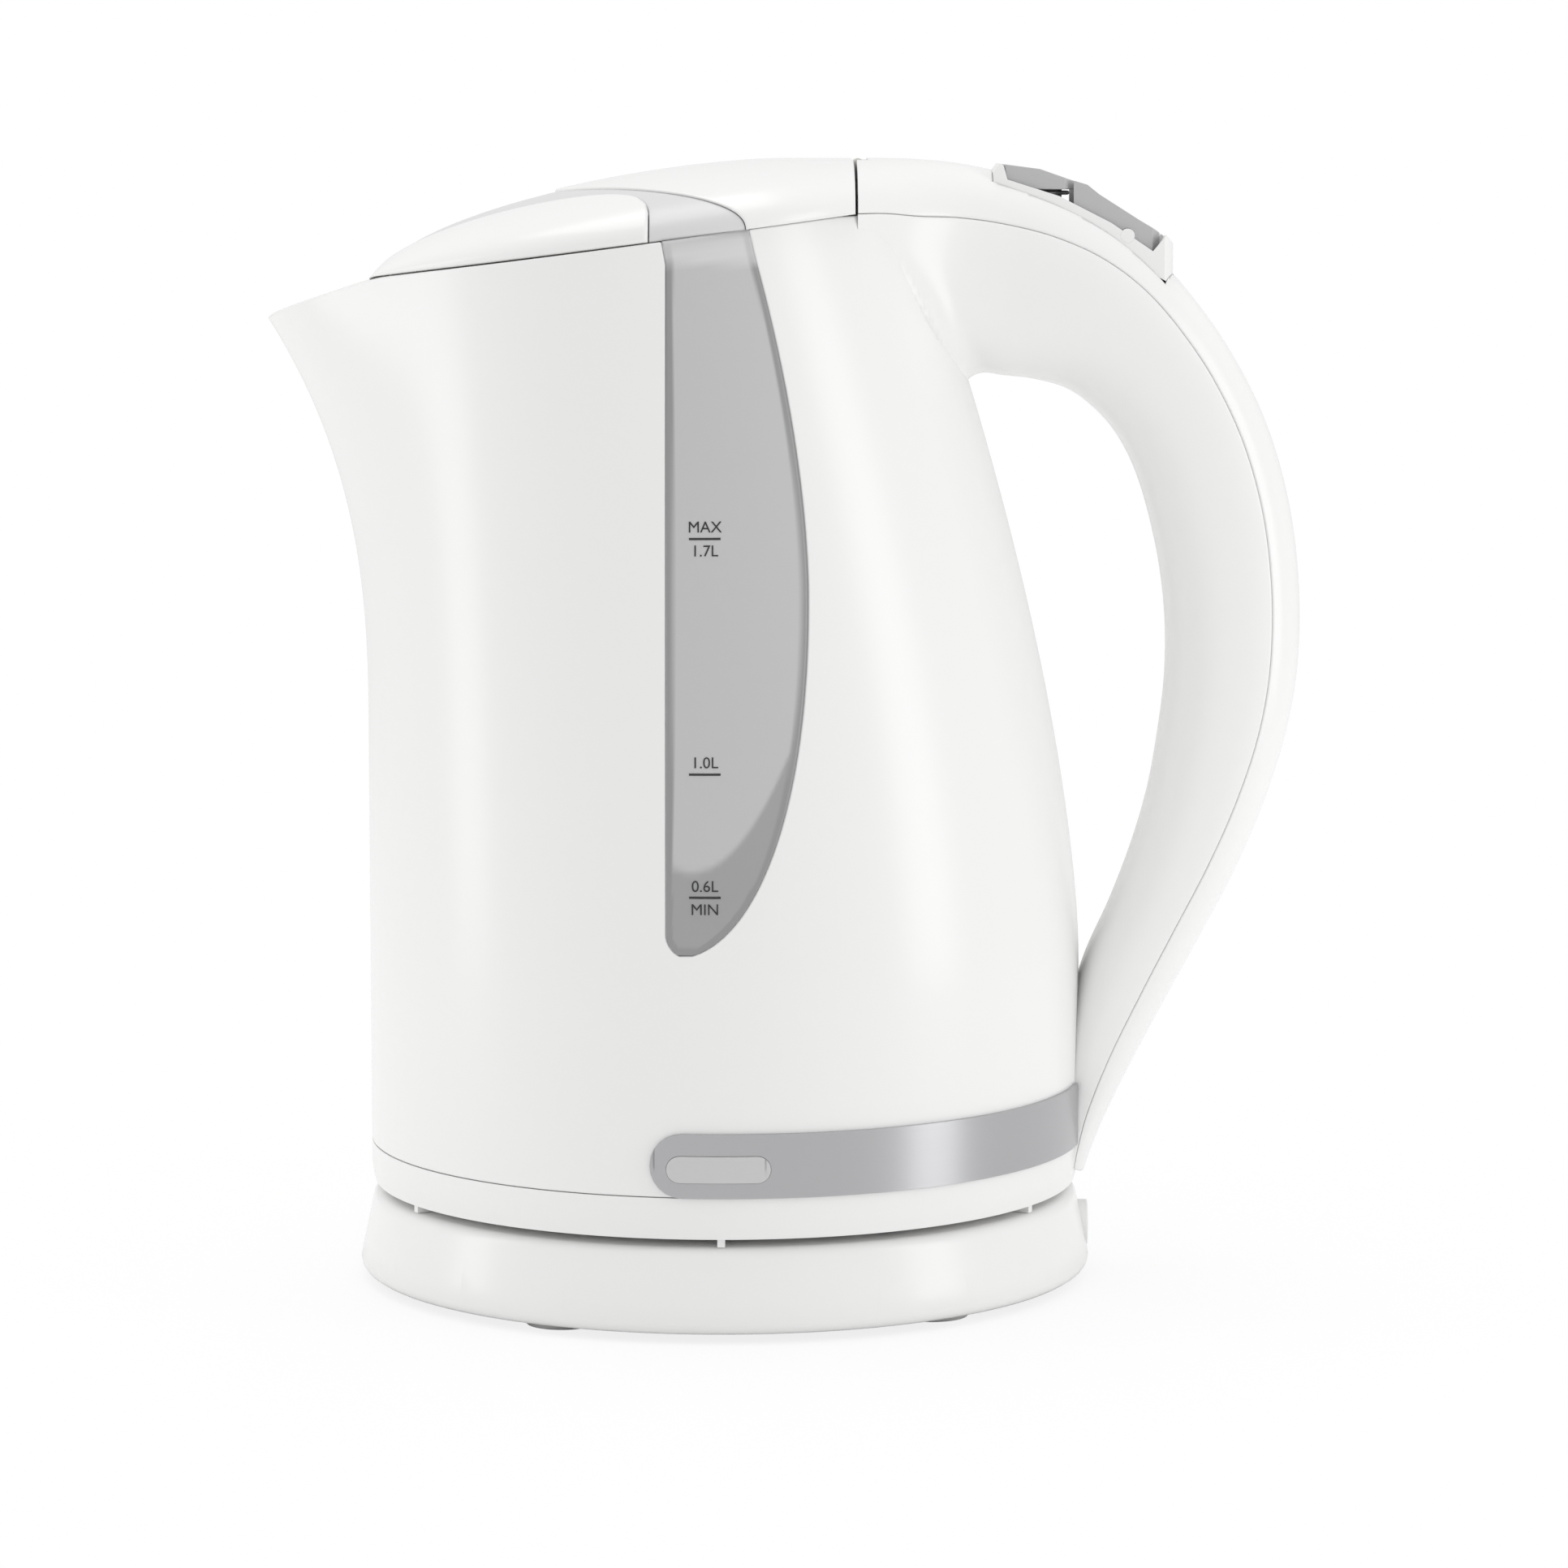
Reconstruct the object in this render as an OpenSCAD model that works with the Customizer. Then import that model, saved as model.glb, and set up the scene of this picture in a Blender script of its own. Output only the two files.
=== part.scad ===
// Cordless electric kettle on a turning power base.
// Millimetres, +Z up. The origin is on the base's turning axis at table level.
// The spout points to -X, the handle to +X, and the two water windows face -Y and +Y.

/* [Power base] */
// Distance that the base's top edge lies inside the jug's round side
base_top_in = 0.2; // [0.1:0.1:2.5]
// Distance that the base's lower edge stands out beyond its top edge
base_flare = 2.7; // [1.2:0.1:7]
// Height of the base's top face above the table
base_h = 19.4; // [17.5:0.2:24]
// Thickness of the base's walls
base_wall = 2.4; // [1.8:0.1:3]
// Number of rubber feet
foot_count = 5; // [3:1:6]
// Radius of a foot
foot_r = 7.8; // [5:0.1:8.5]
// Height that the feet lift the base above the table
foot_h = 1.8; // [1:0.1:3]
// Height of the connector hub above the base's top face
hub_h = 9; // [7:0.5:10]
// Radius of the cable's hole in the base's rubber gland
cable_hole_r = 3.4; // [3.2:0.1:3.8]

/* [Jug] */
// Radius of the jug's round lower body
body_r = 76.5; // [72:0.5:80]
// Thickness of the jug's wall
wall = 2.5; // [2:0.1:3]
// Gap between the base's top face and the jug's bottom ring
stand_gap = 1.9; // [1.2:0.1:3]
// Height of the jug's bottom ring
ring_h = 8.7; // [7.5:0.1:11]
// Height of the rim above the jug's bottom, on the turning axis
body_h = 203.9; // [196:0.5:225]
// Distance that the rear wall leans in at the rim
rear_lean = 34.7; // [28:0.1:37]
// Distance that each side wall leans in at the rim
side_lean = 16.4; // [12:0.1:19]
// Distance that the spout's tip stands out from the round body
spout_reach = 21; // [14:0.5:28]
// Height of the heating plate's top face above the jug's bottom
plate_h = 33.9; // [31:0.1:40]

/* [Water windows] */
// Distance of the windows' straight front edge in front of the turning axis
window_front = 11.1; // [6:0.1:14]
// Width of the windows where they are widest
window_w = 28.9; // [20:0.1:34]
// Height of the windows' lower end above the jug's bottom
window_h = 58.5; // [52:0.5:70]
// Height from there to where the windows are widest
window_swell_h = 72.2; // [60:0.1:80]

/* [Trim band and pilot light] */
// Height of the metal trim band
band_h = 13.3; // [11:0.1:16]
// Thickness of the trim band
band_t = 0.8; // [0.5:0.1:1.2]
// Distance of the band's round end in front of the turning axis
band_front = 14.6; // [13:0.1:22]
// Length of the pilot light's lens
lens_w = 21.4; // [16:0.2:24]
// Height of the pilot light's lens
lens_h = 5.5; // [4:0.1:6.5]

/* [Lid] */
// Distance that the lid's front edge lies behind the front of the round lower body
lid_front_in = 3.1; // [1.5:0.1:8]
// Distance of the lid's rear edge behind the turning axis
lid_rear = 27.3; // [25:0.1:29]
// Height of the lid's crown above the rim on the turning axis
crown_h = 15.2; // [13.5:0.1:18]
// Thickness of the lid's outer shells
lid_t = 2.2; // [1.8:0.1:2.6]
// Depth of the lid's inner cup below the rim
liner_h = 18; // [12:0.5:19]
// Distance that the rear shell's tongue reaches in front of the turning axis
tongue_front = 36; // [30:0.5:42]
// Radius of the lid's hinge pin
hinge_pin_r = 0.6; // [0.5:0.05:0.7]

/* [Handle] */
// Half the width of the grip
grip_w = 15; // [13:0.1:16.5]
// Distance that the grip's outermost point stands out from the body
grip_reach = 46.8; // [42:0.1:52]
// Thickness of the grip's walls
grip_wall = 2.2; // [1.8:0.1:2.6]
// Half the width of the switch opening in the handle's cover
switch_w = 10; // [8.5:0.1:10.5]
// Travel of the lid button
button_travel = 2.5; // [1.5:0.1:3]
// Radius of the rocker switch's pin
rocker_pin_r = 1.5; // [1.2:0.1:1.8]

/* [Hidden] */

// Clearances and small sizes that several pieces share
fit = 0.05;
gap = 0.3;
skin = 0.1;
eps = 0.01;
screw_r = 1.5;
screw_head_r = 3;
round_fn = 96;

// Radii that follow the body's
base_top_r = body_r - base_top_in;
base_r = base_top_r + base_flare;
lid_front = body_r - lid_front_in;

// Levels above the table
jug_z = base_h + stand_gap;
body_z = jug_z + ring_h;
rim_z = jug_z + body_h;
plate_z = jug_z + plate_h;
hub_z = base_h + hub_h;
crown_z = rim_z + crown_h;

// ---- Shape of the body: plan sections by height ----
lean_from = jug_z + 48.7;
rear_power = 1.56;
side_power = 1.5;
spout_from = jug_z + 98.7;
spout_power = 2.6;
spout_point = 9;
rim_tilt = 0.13;
lip_tilt = 0.137;
lip_from = 72;
tip_z = rim_z - 18.5;

function share(z, low, high) = max(0, z - low) / (high - low);
function rear_x(z) = body_r - rear_lean * pow(share(z, lean_from, rim_z), rear_power);
function side_y(z) = body_r - side_lean * pow(share(z, lean_from, rim_z), side_power);
function middle_x(z) = (rear_x(z) - body_r) / 2;
function half_length(z) = (rear_x(z) + body_r) / 2;
function spout_x(z) = spout_reach * pow(share(z, spout_from, tip_z), spout_power);
// Point of the plan section at height z and angle a, depth d inside the surface.
// The angle is 0 at the handle and 180 at the spout.
function section(a, z, d) = [
  middle_x(z) + (half_length(z) - d) * cos(a) - spout_x(z) * pow(max(0, -cos(a)), spout_point),
  (side_y(z) - d) * sin(a)];
// Height of the rim above a point x
function rim_at(x) = rim_z + rim_tilt * min(x, lid_rear) - lip_tilt * max(0, -lip_from - x);
near_rim_z = rim_z - 6;
function rim_height(a) = rim_at(section(a, near_rim_z, 0)[0]);
// Half the width of the plan section at x, on the side of +Y
function width_at(x, z, d) = lookup(x, [for (a = [180:-4:0]) section(a, z, d)]);

// ---- Edges of the water windows ----
window_z = jug_z + window_h;
window_mid_z = window_z + window_swell_h;
window_swell = window_swell_h + 0.8;
window_corner = 5;
window_power = 2.2;
window_top_in = 12.5;
window_top_power = 1.75;
window_left_sink = 4.4;
function window_left(z) = -window_front + window_corner * (1 - sqrt(1 - pow(
  max(0, window_z + window_left_sink - z) / window_corner, 2)));
function window_right(z) = z < window_mid_z
  ? -window_front + window_w * pow(1 - pow((window_mid_z - z) / window_swell, window_power),
      1 / window_power)
  : -window_front + window_w - window_top_in * pow(share(z, window_mid_z, rim_z + 1),
      window_top_power);
function angle_at(x, z) = acos(max(-1, min(1, (x - middle_x(z)) / half_length(z))));

// ---- Grid of the body's wall: columns round it, rows up it ----
front_cols = 16;
window_cols = 4;
rear_cols = 14;
low_rows = 4;
high_rows = 15;
col_count = front_cols + 2 * window_cols + rear_cols;
row_count = low_rows + high_rows + 1;
function column_angles(z) =
  let (left = angle_at(window_left(z), z), right = angle_at(window_right(z), z))
  concat(
    [for (i = [0:front_cols - 1]) -left - (360 - 2 * left) * i / front_cols],
    [for (i = [0:window_cols - 1]) left - 360 - (left - right) * i / window_cols],
    [for (i = [0:rear_cols - 1]) right - 360 - 2 * right * i / rear_cols],
    [for (i = [0:window_cols - 1]) -360 - right - (left - right) * i / window_cols]);
function body_row(j, d) =
  let (top_angles = column_angles(near_rim_z))
  [for (i = [0:col_count - 1])
    let (top = rim_height(top_angles[i]),
      z = j < low_rows ? body_z + (window_z - body_z) * j / low_rows
        : window_z + (top - window_z) * (j - low_rows) / high_rows,
      p = section(column_angles(max(window_z, min(z, near_rim_z)))[i], z, d))
    [p[0], p[1], z]];

// ---- Polyhedra from grids ----
// Two triangles between four points, given by their numbers
function quad(a, b, c, d) = [[a, b, c], [a, c, d]];
// Solid from rings of points that close on themselves, with flat ends
module ring_loft(rings) {
  n = len(rings[0]);
  m = len(rings);
  polyhedron([for (r = rings) each r], concat(
    [for (j = [0:m - 2]) for (i = [0:n - 1]) let (k = (i + 1) % n)
      each quad(j * n + i, j * n + k, (j + 1) * n + k, (j + 1) * n + i)],
    [[for (i = [n - 1:-1:0]) i]],
    [[for (i = [0:n - 1]) (m - 1) * n + i]]));
}
// Curved plate between two open grids of the same size
module plate_between(outer, inner) {
  m = len(outer);
  n = len(outer[0]);
  s = m * n;
  polyhedron(concat([for (r = outer) each r], [for (r = inner) each r]), concat(
    [for (j = [0:m - 2]) for (i = [0:n - 2])
      let (a = j * n + i, b = a + 1, c = a + n + 1, d = a + n)
      each concat(quad(d, c, b, a), quad(s + a, s + b, s + c, s + d))],
    [for (i = [0:n - 2]) each concat(
      quad(i, i + 1, s + i + 1, s + i),
      quad(s - n + i + 1, s - n + i, 2 * s - n + i, 2 * s - n + i + 1))],
    [for (j = [0:m - 2]) let (a = j * n, b = a + n, e = a + n - 1, f = b + n - 1) each concat(
      quad(b, a, s + a, s + b),
      quad(e, f, s + f, s + e))]));
}
// Prism of a side view: points are [x, z], the thickness runs from y0 to y1
module side_prism(points, y0, y1) {
  translate([0, y1, 0]) rotate([90, 0, 0]) linear_extrude(y1 - y0) polygon(points);
}
module round_y(x, z, r, y0, y1) {
  translate([x, y1, z]) rotate([90, 0, 0]) cylinder(r = r, h = y1 - y0, $fn = 32);
}
module tube(r_out, r_in, z0, z1) {
  translate([0, 0, z0]) difference() {
    cylinder(r = r_out, h = z1 - z0, $fn = round_fn);
    translate([0, 0, -1]) cylinder(r = r_in, h = z1 - z0 + 2, $fn = round_fn);
  }
}
function arc(x, z, r, from, to, steps) =
  [for (i = [0:steps]) let (a = from + (to - from) * i / steps) [x + r * cos(a), z + r * sin(a)]];
module on_circle(count, r, phase) {
  for (i = [0:count - 1]) rotate([0, 0, phase + 360 * i / count]) translate([r, 0, 0]) children();
}

// ================= Power base =================
plate_t = 2.2;
foot_sink = 0.6;
foot_circle_r = base_top_r - 10.3;
foot_phase = -48.3;
base_low_round = 2.4;
base_top_round = 2.6;
hub_r = 23;
hub_bore_r = 20.6;
socket_r = hub_bore_r - skin;
base_screw_r = 48;
base_screw_phase = 60;
boss_r = 4;
gland_z = 10.1;
gland_r = 5;
gland_flange_r = 6;
plate_r = base_top_r - base_wall - gap;

module base_cover() {
  color("white") difference() {
    union() {
      rotate_extrude($fn = round_fn) polygon(concat(
        [[base_r - base_wall, foot_h]],
        arc(base_r - base_low_round, foot_h + base_low_round, base_low_round, -90, 0, 4),
        arc(base_top_r - base_top_round, base_h - base_top_round, base_top_round, 5, 90, 5),
        [[hub_r + 1.5, base_h], [hub_r, base_h + 1.5]],
        arc(hub_r - 1, hub_z - 1, 1, 0, 90, 3),
        [[hub_bore_r, hub_z], [hub_bore_r, base_h - base_wall]],
        arc(base_top_r - base_top_round, base_h - base_top_round, base_top_round - base_wall,
          90, 5, 3),
        [[base_top_r - base_wall, foot_h + plate_t + 2]]));
      on_circle(3, base_screw_r, base_screw_phase)
        translate([0, 0, foot_h + plate_t])
          cylinder(r = boss_r, h = base_h - foot_h - plate_t - 1, $fn = 32);
    }
    on_circle(3, base_screw_r, base_screw_phase)
      cylinder(r = screw_r + fit, h = base_h - 4, $fn = 32);
    translate([base_top_r - 2 * base_wall, 0, gland_z]) rotate([0, 90, 0])
      cylinder(r = gland_r + fit, h = 20, $fn = 48);
  }
}

module base_plate() {
  color("dimgray") difference() {
    union() {
      translate([0, 0, foot_h]) cylinder(r = plate_r, h = plate_t, $fn = round_fn);
      translate([0, 0, foot_h + plate_t - eps]) cylinder(r = socket_r, h = 1, $fn = round_fn);
    }
    on_circle(foot_count, foot_circle_r - gap, foot_phase)
      cylinder(r = foot_r + fit, h = foot_h + foot_sink, $fn = 48);
    on_circle(3, base_screw_r, base_screw_phase) {
      cylinder(r = screw_r + fit, h = 20, $fn = 32);
      cylinder(r = screw_head_r + fit, h = foot_h + 1.4, $fn = 32);
    }
  }
}

module base_feet() {
  color("gray") on_circle(foot_count, foot_circle_r - gap, foot_phase)
    rotate_extrude($fn = 48) polygon(concat(
      [[0, 0]],
      arc(foot_r - 0.6, 0.6, 0.6, -90, 0, 3),
      [[foot_r, foot_h + foot_sink], [0, foot_h + foot_sink]]));
}

module screw(z_head, length, head_t) {
  translate([0, 0, z_head]) difference() {
    union() {
      cylinder(r = screw_head_r, h = head_t, $fn = 32);
      cylinder(r = screw_r, h = length, $fn = 32);
    }
    translate([0, 0, -1]) cylinder(r = 1.1, h = 1.7, $fn = 6);
  }
}

module base_screws() {
  color("silver") on_circle(3, base_screw_r, base_screw_phase) screw(foot_h + 0.3, 11, 1.1);
}

// The connector: a central pin in a bore and a ring in a round slot
slot_in_r = 9.6;
slot_out_r = 15;
slot_z = foot_h + plate_t + 7;
pin_bore_r = 3.6;
contact_t = 0.5;
shutter_t = 4;
socket_z = foot_h + plate_t + 1;

module base_socket() {
  color("lightgray") difference() {
    translate([0, 0, socket_z]) cylinder(r = socket_r, h = hub_z - socket_z, $fn = round_fn);
    tube(slot_out_r, slot_in_r, slot_z, hub_z + 1);
    translate([0, 0, slot_z]) cylinder(r = pin_bore_r, h = 40, $fn = 48);
    tube(slot_out_r + contact_t, slot_out_r - 1, slot_z + 5, hub_z - 4);
    translate([0, 0, slot_z + 3]) cylinder(r = pin_bore_r + contact_t, h = hub_z - slot_z - 6,
      $fn = 48);
  }
}

module socket_contacts() {
  color("goldenrod") {
    tube(slot_out_r + contact_t - fit, slot_out_r, slot_z + 5 + fit, hub_z - 4 - fit);
    tube(pin_bore_r + contact_t - fit, pin_bore_r, slot_z + 3 + fit, hub_z - 3 - fit);
  }
}

module swivel_ring() {
  color("gray") tube(slot_out_r - fit, slot_in_r + fit, slot_z + skin, slot_z + shutter_t);
}

module cord_gland() {
  color("dimgray") translate([base_top_r - base_wall - 2, 0, gland_z]) rotate([0, 90, 0])
    difference() {
      union() {
        cylinder(r = gland_r, h = base_r - base_top_r + base_wall + 1.8, $fn = 48);
        cylinder(r = gland_flange_r, h = 1.5, $fn = 48);
      }
      translate([0, 0, -1]) cylinder(r = cable_hole_r, h = 20, $fn = 48);
    }
}

// ================= Jug: bottom and heating =================
floor_t = 2.2;
recess_r = hub_r + 2.2;
recess_z = hub_z + 2.4;
ring_foot_r = body_r - 0.7;
rest_count = 6;
rest_w = 1.6;
rest_l = 5;
bottom_screw_r = body_r - 9.5;
leg_r = 4;
clamp_z = plate_z - 9.5;
clamp_t = 2;
seal_low = plate_z - 6.5;
bore_r = body_r - wall - 0.6;
plate_disc_r = bore_r - 3.4;
connector_r = 17;

module bottom_ring() {
  color("white") difference() {
    union() {
      rotate_extrude($fn = round_fn) polygon([
        [recess_r, jug_z], [ring_foot_r, jug_z], [ring_foot_r + 0.3, jug_z + 1],
        [body_r, jug_z + 4], [body_r, body_z - skin], [bore_r, body_z - skin],
        [bore_r, body_z + 5], [bore_r - 2, body_z + 5], [bore_r - 2, jug_z + floor_t],
        [recess_r + floor_t, jug_z + floor_t], [recess_r + floor_t, recess_z + floor_t],
        [connector_r - 3, recess_z + floor_t], [connector_r - 3, recess_z],
        [recess_r, recess_z]]);
      on_circle(rest_count, ring_foot_r - 1 - rest_l / 2, 270)
        translate([-rest_l / 2, -rest_w / 2, base_h + skin])
          cube([rest_l, rest_w, stand_gap + 0.5]);
    }
    on_circle(3, bottom_screw_r, 60) {
      translate([0, 0, jug_z - 1]) cylinder(r = screw_r + fit, h = 10, $fn = 32);
      translate([0, 0, jug_z - 1]) cylinder(r = screw_head_r + fit, h = 2, $fn = 32);
    }
    // Notch in the lip for the pilot lamp
    translate([-4.5, -bore_r - 1, body_z + 2]) cube([8, 6, 4]);
  }
}

module bottom_screws() {
  color("silver") on_circle(3, bottom_screw_r, 60) screw(jug_z + 0.05, 12, 0.9);
}

module jug_connector() {
  ring_out = slot_out_r - 0.8;
  ring_in = slot_in_r + 0.8;
  color("dimgray") difference() {
    union() {
      translate([0, 0, recess_z + floor_t]) cylinder(r = connector_r, h = 3, $fn = round_fn);
      translate([0, 0, recess_z - 1]) cylinder(r = connector_r - 3 - skin, h = floor_t + 2,
        $fn = round_fn);
      tube(ring_out - 1, ring_in, slot_z + shutter_t + gap, recess_z);
    }
    translate([0, 0, slot_z]) cylinder(r = pin_bore_r - 0.5, h = 60, $fn = 48);
  }
}

module connector_pin() {
  color("goldenrod") translate([0, 0, slot_z + 2])
    cylinder(r = pin_bore_r - 0.6, h = recess_z + floor_t + 3 - slot_z - 2, $fn = 48);
}

control_z = recess_z + floor_t + 3;
control_top = plate_z - 9;

module control_unit() {
  color("ivory") difference() {
    translate([0, 0, control_z]) cylinder(r = 24, h = control_top - control_z, $fn = round_fn);
    for (s = [-1, 1]) translate([-30, s * 24 - (s > 0 ? 0 : 8), control_z + 2])
      cube([60, 8, control_top - control_z]);
    for (s = [-1, 1]) translate([s * 12, 0, control_top - 1.2]) cylinder(r = 7, h = 2, $fn = 48);
    translate([28, 0, control_z + 3]) rotate([0, 90, 0]) cylinder(r = 1, h = 1, $fn = 16);
  }
}

module bimetal_discs() {
  color("goldenrod") for (s = [-1, 1])
    translate([s * 12, 0, control_top - 1.2 + fit]) cylinder(r = 6.5, h = 0.9, $fn = 48);
}

element_r = 46;
element_tube_r = 3.2;
spreader_t = 2.4;
disc_t = 1.2;

module heating_element() {
  ring_z = plate_z - disc_t - spreader_t - element_tube_r;
  color("dimgray") union() {
    translate([0, 0, ring_z]) rotate([0, 0, 200]) rotate_extrude(angle = 320, $fn = round_fn)
      translate([element_r, 0]) circle(r = element_tube_r, $fn = 24);
    for (a = [200, 160]) rotate([0, 0, a]) translate([element_r, 0, ring_z - 9])
      cylinder(r = 2.4, h = 9, $fn = 24);
  }
}

module heat_spreader() {
  color("silver") translate([0, 0, plate_z - disc_t - spreader_t])
    cylinder(r = element_r + 10, h = spreader_t, $fn = round_fn);
}

module heating_plate() {
  color("silver") {
    translate([0, 0, plate_z - disc_t]) cylinder(r = plate_disc_r, h = disc_t, $fn = round_fn);
    tube(plate_disc_r, plate_disc_r - disc_t, seal_low + 1, plate_z - disc_t + eps);
  }
}

module plate_seal() {
  color("gray") rotate_extrude($fn = round_fn) polygon([
    [plate_disc_r - 3, seal_low - 1], [bore_r - fit, seal_low - 1], [bore_r - fit, plate_z],
    [plate_disc_r + fit, plate_z - 0.8], [plate_disc_r + fit, seal_low + 1 - fit],
    [plate_disc_r - 3, seal_low + 1 - fit]]);
}

module clamp_ring() {
  color("silver") difference() {
    union() {
      tube(bore_r - 0.5, bore_r - 9, clamp_z, seal_low - 1 - fit);
      on_circle(3, bottom_screw_r, 60) translate([0, 0, jug_z + floor_t + fit])
        cylinder(r = leg_r, h = clamp_z - jug_z - floor_t, $fn = 32);
    }
    on_circle(3, bottom_screw_r, 60) translate([0, 0, jug_z])
      cylinder(r = screw_r + fit, h = 16, $fn = 32);
  }
}

// ================= Jug: body, windows and trim =================
module body_wall() {
  rows = row_count;
  n = col_count;
  s = rows * n;
  window_a = front_cols;
  window_b = front_cols + window_cols + rear_cols;
  function left_out(i, j) = let (k = (i + n) % n) j < 0 || j >= rows - 1 ||
    (j >= low_rows && ((k >= window_a && k < window_a + window_cols) || k >= window_b));
  function at(i, j, side) = side * s + j * n + (i + n) % n;
  polyhedron(
    concat([for (j = [0:rows - 1]) each body_row(j, 0)],
      [for (j = [0:rows - 1]) each body_row(j, wall)]),
    [for (j = [0:rows - 2]) for (i = [0:n - 1]) if (!left_out(i, j)) each concat(
      quad(at(i, j, 0), at(i + 1, j, 0), at(i + 1, j + 1, 0), at(i, j + 1, 0)),
      quad(at(i, j + 1, 1), at(i + 1, j + 1, 1), at(i + 1, j, 1), at(i, j, 1)),
      left_out(i, j - 1) ? quad(at(i, j, 0), at(i, j, 1), at(i + 1, j, 1), at(i + 1, j, 0)) : [],
      left_out(i, j + 1)
        ? quad(at(i, j + 1, 0), at(i + 1, j + 1, 0), at(i + 1, j + 1, 1), at(i, j + 1, 1)) : [],
      left_out(i - 1, j) ? quad(at(i, j, 0), at(i, j + 1, 0), at(i, j + 1, 1), at(i, j, 1)) : [],
      left_out(i + 1, j)
        ? quad(at(i + 1, j, 0), at(i + 1, j, 1), at(i + 1, j + 1, 1), at(i + 1, j + 1, 0))
        : [])]);
}

// Window pane: the body's surface between the window's edges
pane_gap = 0.15;
function pane_angle(z, u) =
  let (l = angle_at(window_left(z) + pane_gap, z), r = angle_at(window_right(z) - pane_gap, z))
  (l - r) * u - l;
module pane() {
  function cell(i, j, d) =
    let (u = i / window_cols,
      top = rim_height(pane_angle(near_rim_z, u)) - (j == high_rows ? 0.1 : 0),
      z = window_z + (j == 0 ? pane_gap : 0) + (top - window_z) * j / high_rows,
      p = section(pane_angle(max(window_z, min(z, near_rim_z)), u), z, d))
    [p[0], p[1], z];
  plate_between(
    [for (j = [0:high_rows]) [for (i = [0:window_cols]) cell(i, j, 0)]],
    [for (j = [0:high_rows]) [for (i = [0:window_cols]) cell(i, j, wall)]]);
}

module water_window_left() {
  color([0.78, 0.78, 0.78, 0.6]) pane();
}

module water_window_right() {
  color([0.78, 0.78, 0.78, 0.6]) mirror([0, 1, 0]) pane();
}

// Trim band, from its round end near the side's middle to the handle's foot
lens_z = body_z + 6;
band_end_angle = 10.8;
module band_outline(grow) {
  r = band_h / 2 - grow;
  side_prism(concat(
    arc(-band_front + grow + r, body_z + band_h / 2, r, 90, 270, 12),
    [[body_r, body_z + grow], [body_r, body_z + band_h - grow]]), -body_r - 5, 0);
}
module lens_outline(grow) {
  r = lens_h / 2 + grow;
  x = lens_w / 2 - lens_h / 2;
  side_prism(concat(
    arc(x - 0.5, lens_z, r, -90, 90, 10),
    arc(-x - 0.5, lens_z, r, 90, 270, 10)), -body_r - 5, -body_r + 12);
}
module trim_band() {
  intersection() {
    tube(body_r + fit + band_t, body_r + fit, body_z, body_z + band_h);
    band_outline(0);
    rotate([0, 0, -band_end_angle]) translate([-200, -200, 0]) cube([400, 200, 200]);
  }
}

module trim_band_left() {
  color("darkgray") difference() {
    trim_band();
    lens_outline(fit);
  }
}

module trim_band_right() {
  color("darkgray") mirror([0, 1, 0]) trim_band();
}

module pilot_lens() {
  color([0.75, 0.75, 0.75, 0.8]) intersection() {
    tube(body_r + fit + band_t + 0.2, body_r - wall, body_z, body_z + band_h);
    lens_outline(0);
  }
}

module pilot_lamp() {
  color("red") translate([-0.5, -body_r + wall + 0.8, lens_z]) rotate([-90, 0, 0]) {
    cylinder(r = 2.5, h = 4, $fn = 32);
    cylinder(r = 3.2, h = 1, $fn = 32);
  }
}

// ================= Handle =================
// Stations along the handle: outer point, inner point, half width, depth of the cover's seam.
// x is measured outwards from the round body's side, height as a share of the jug's height.
jug_tall = crown_z - jug_z;
HANDLE = [
  [[-48.5, 1.000], [-48.5, 0.880], 38.3, 11.3],
  [[-42.5, 1.000], [-42.5, 0.857], 31, 11.3],
  [[-35.5, 0.999], [-35.5, 0.832], 25, 11.7],
  [[-26.5, 0.995], [-27.5, 0.803], 20.3, 11.2],
  [[-16.5, 0.985], [-19, 0.791], 17.8, 10.4],
  [[-5.5, 0.968], [-10.5, 0.786], 16.8, 9.4],
  [[5.5, 0.942], [-3, 0.776], 16.2, 8.4],
  [[15.5, 0.906], [3, 0.756], 15.6, 7.6],
  [[24.5, 0.860], [7.8, 0.730], 15.2, 7.2],
  [[32.5, 0.807], [11.7, 0.695], 15, 7],
  [[39.5, 0.743], [14.7, 0.651], 15, 7],
  [[44.3, 0.670], [17.1, 0.599], 15, 7],
  [[46.7, 0.592], [18.3, 0.546], 15, 7],
  [[46.8, 0.514], [18.2, 0.492], 15, 7],
  [[44.5, 0.444], [16.8, 0.437], 15, 7],
  [[39.8, 0.373], [14.8, 0.384], 15, 7],
  [[33.5, 0.304], [11.5, 0.330], 14.9, 7],
  [[25.8, 0.236], [6.8, 0.272], 14.7, 6.8],
  [[17.8, 0.168], [1.3, 0.215], 14.5, 6.4],
  [[10.5, 0.104], [-2.5, 0.154], 14.3, 6],
  [[4.8, 0.049], [-4.5, 0.088], 14, 5],
  [[1.4, 0.008], [-6, 0.024], 13.8, 3]];
station_last = len(HANDLE) - 1;
handle_steps = 34;
seam_gap = 1.8;
round_power = 2.6;
reach_scale = grip_reach / 46.8;
width_scale = grip_w / 15;
root_scale = body_r / 76.5;

function station_x(p) = body_r + (p > 0 ? p * reach_scale : p);
function station(i) = let (h = HANDLE[max(0, min(station_last, i))],
    wide = i < 4 ? root_scale : width_scale)
  [station_x(h[0][0]), jug_z + h[0][1] * jug_tall, station_x(h[1][0]),
    jug_z + h[1][1] * jug_tall, h[2] * wide, h[3]];
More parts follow.
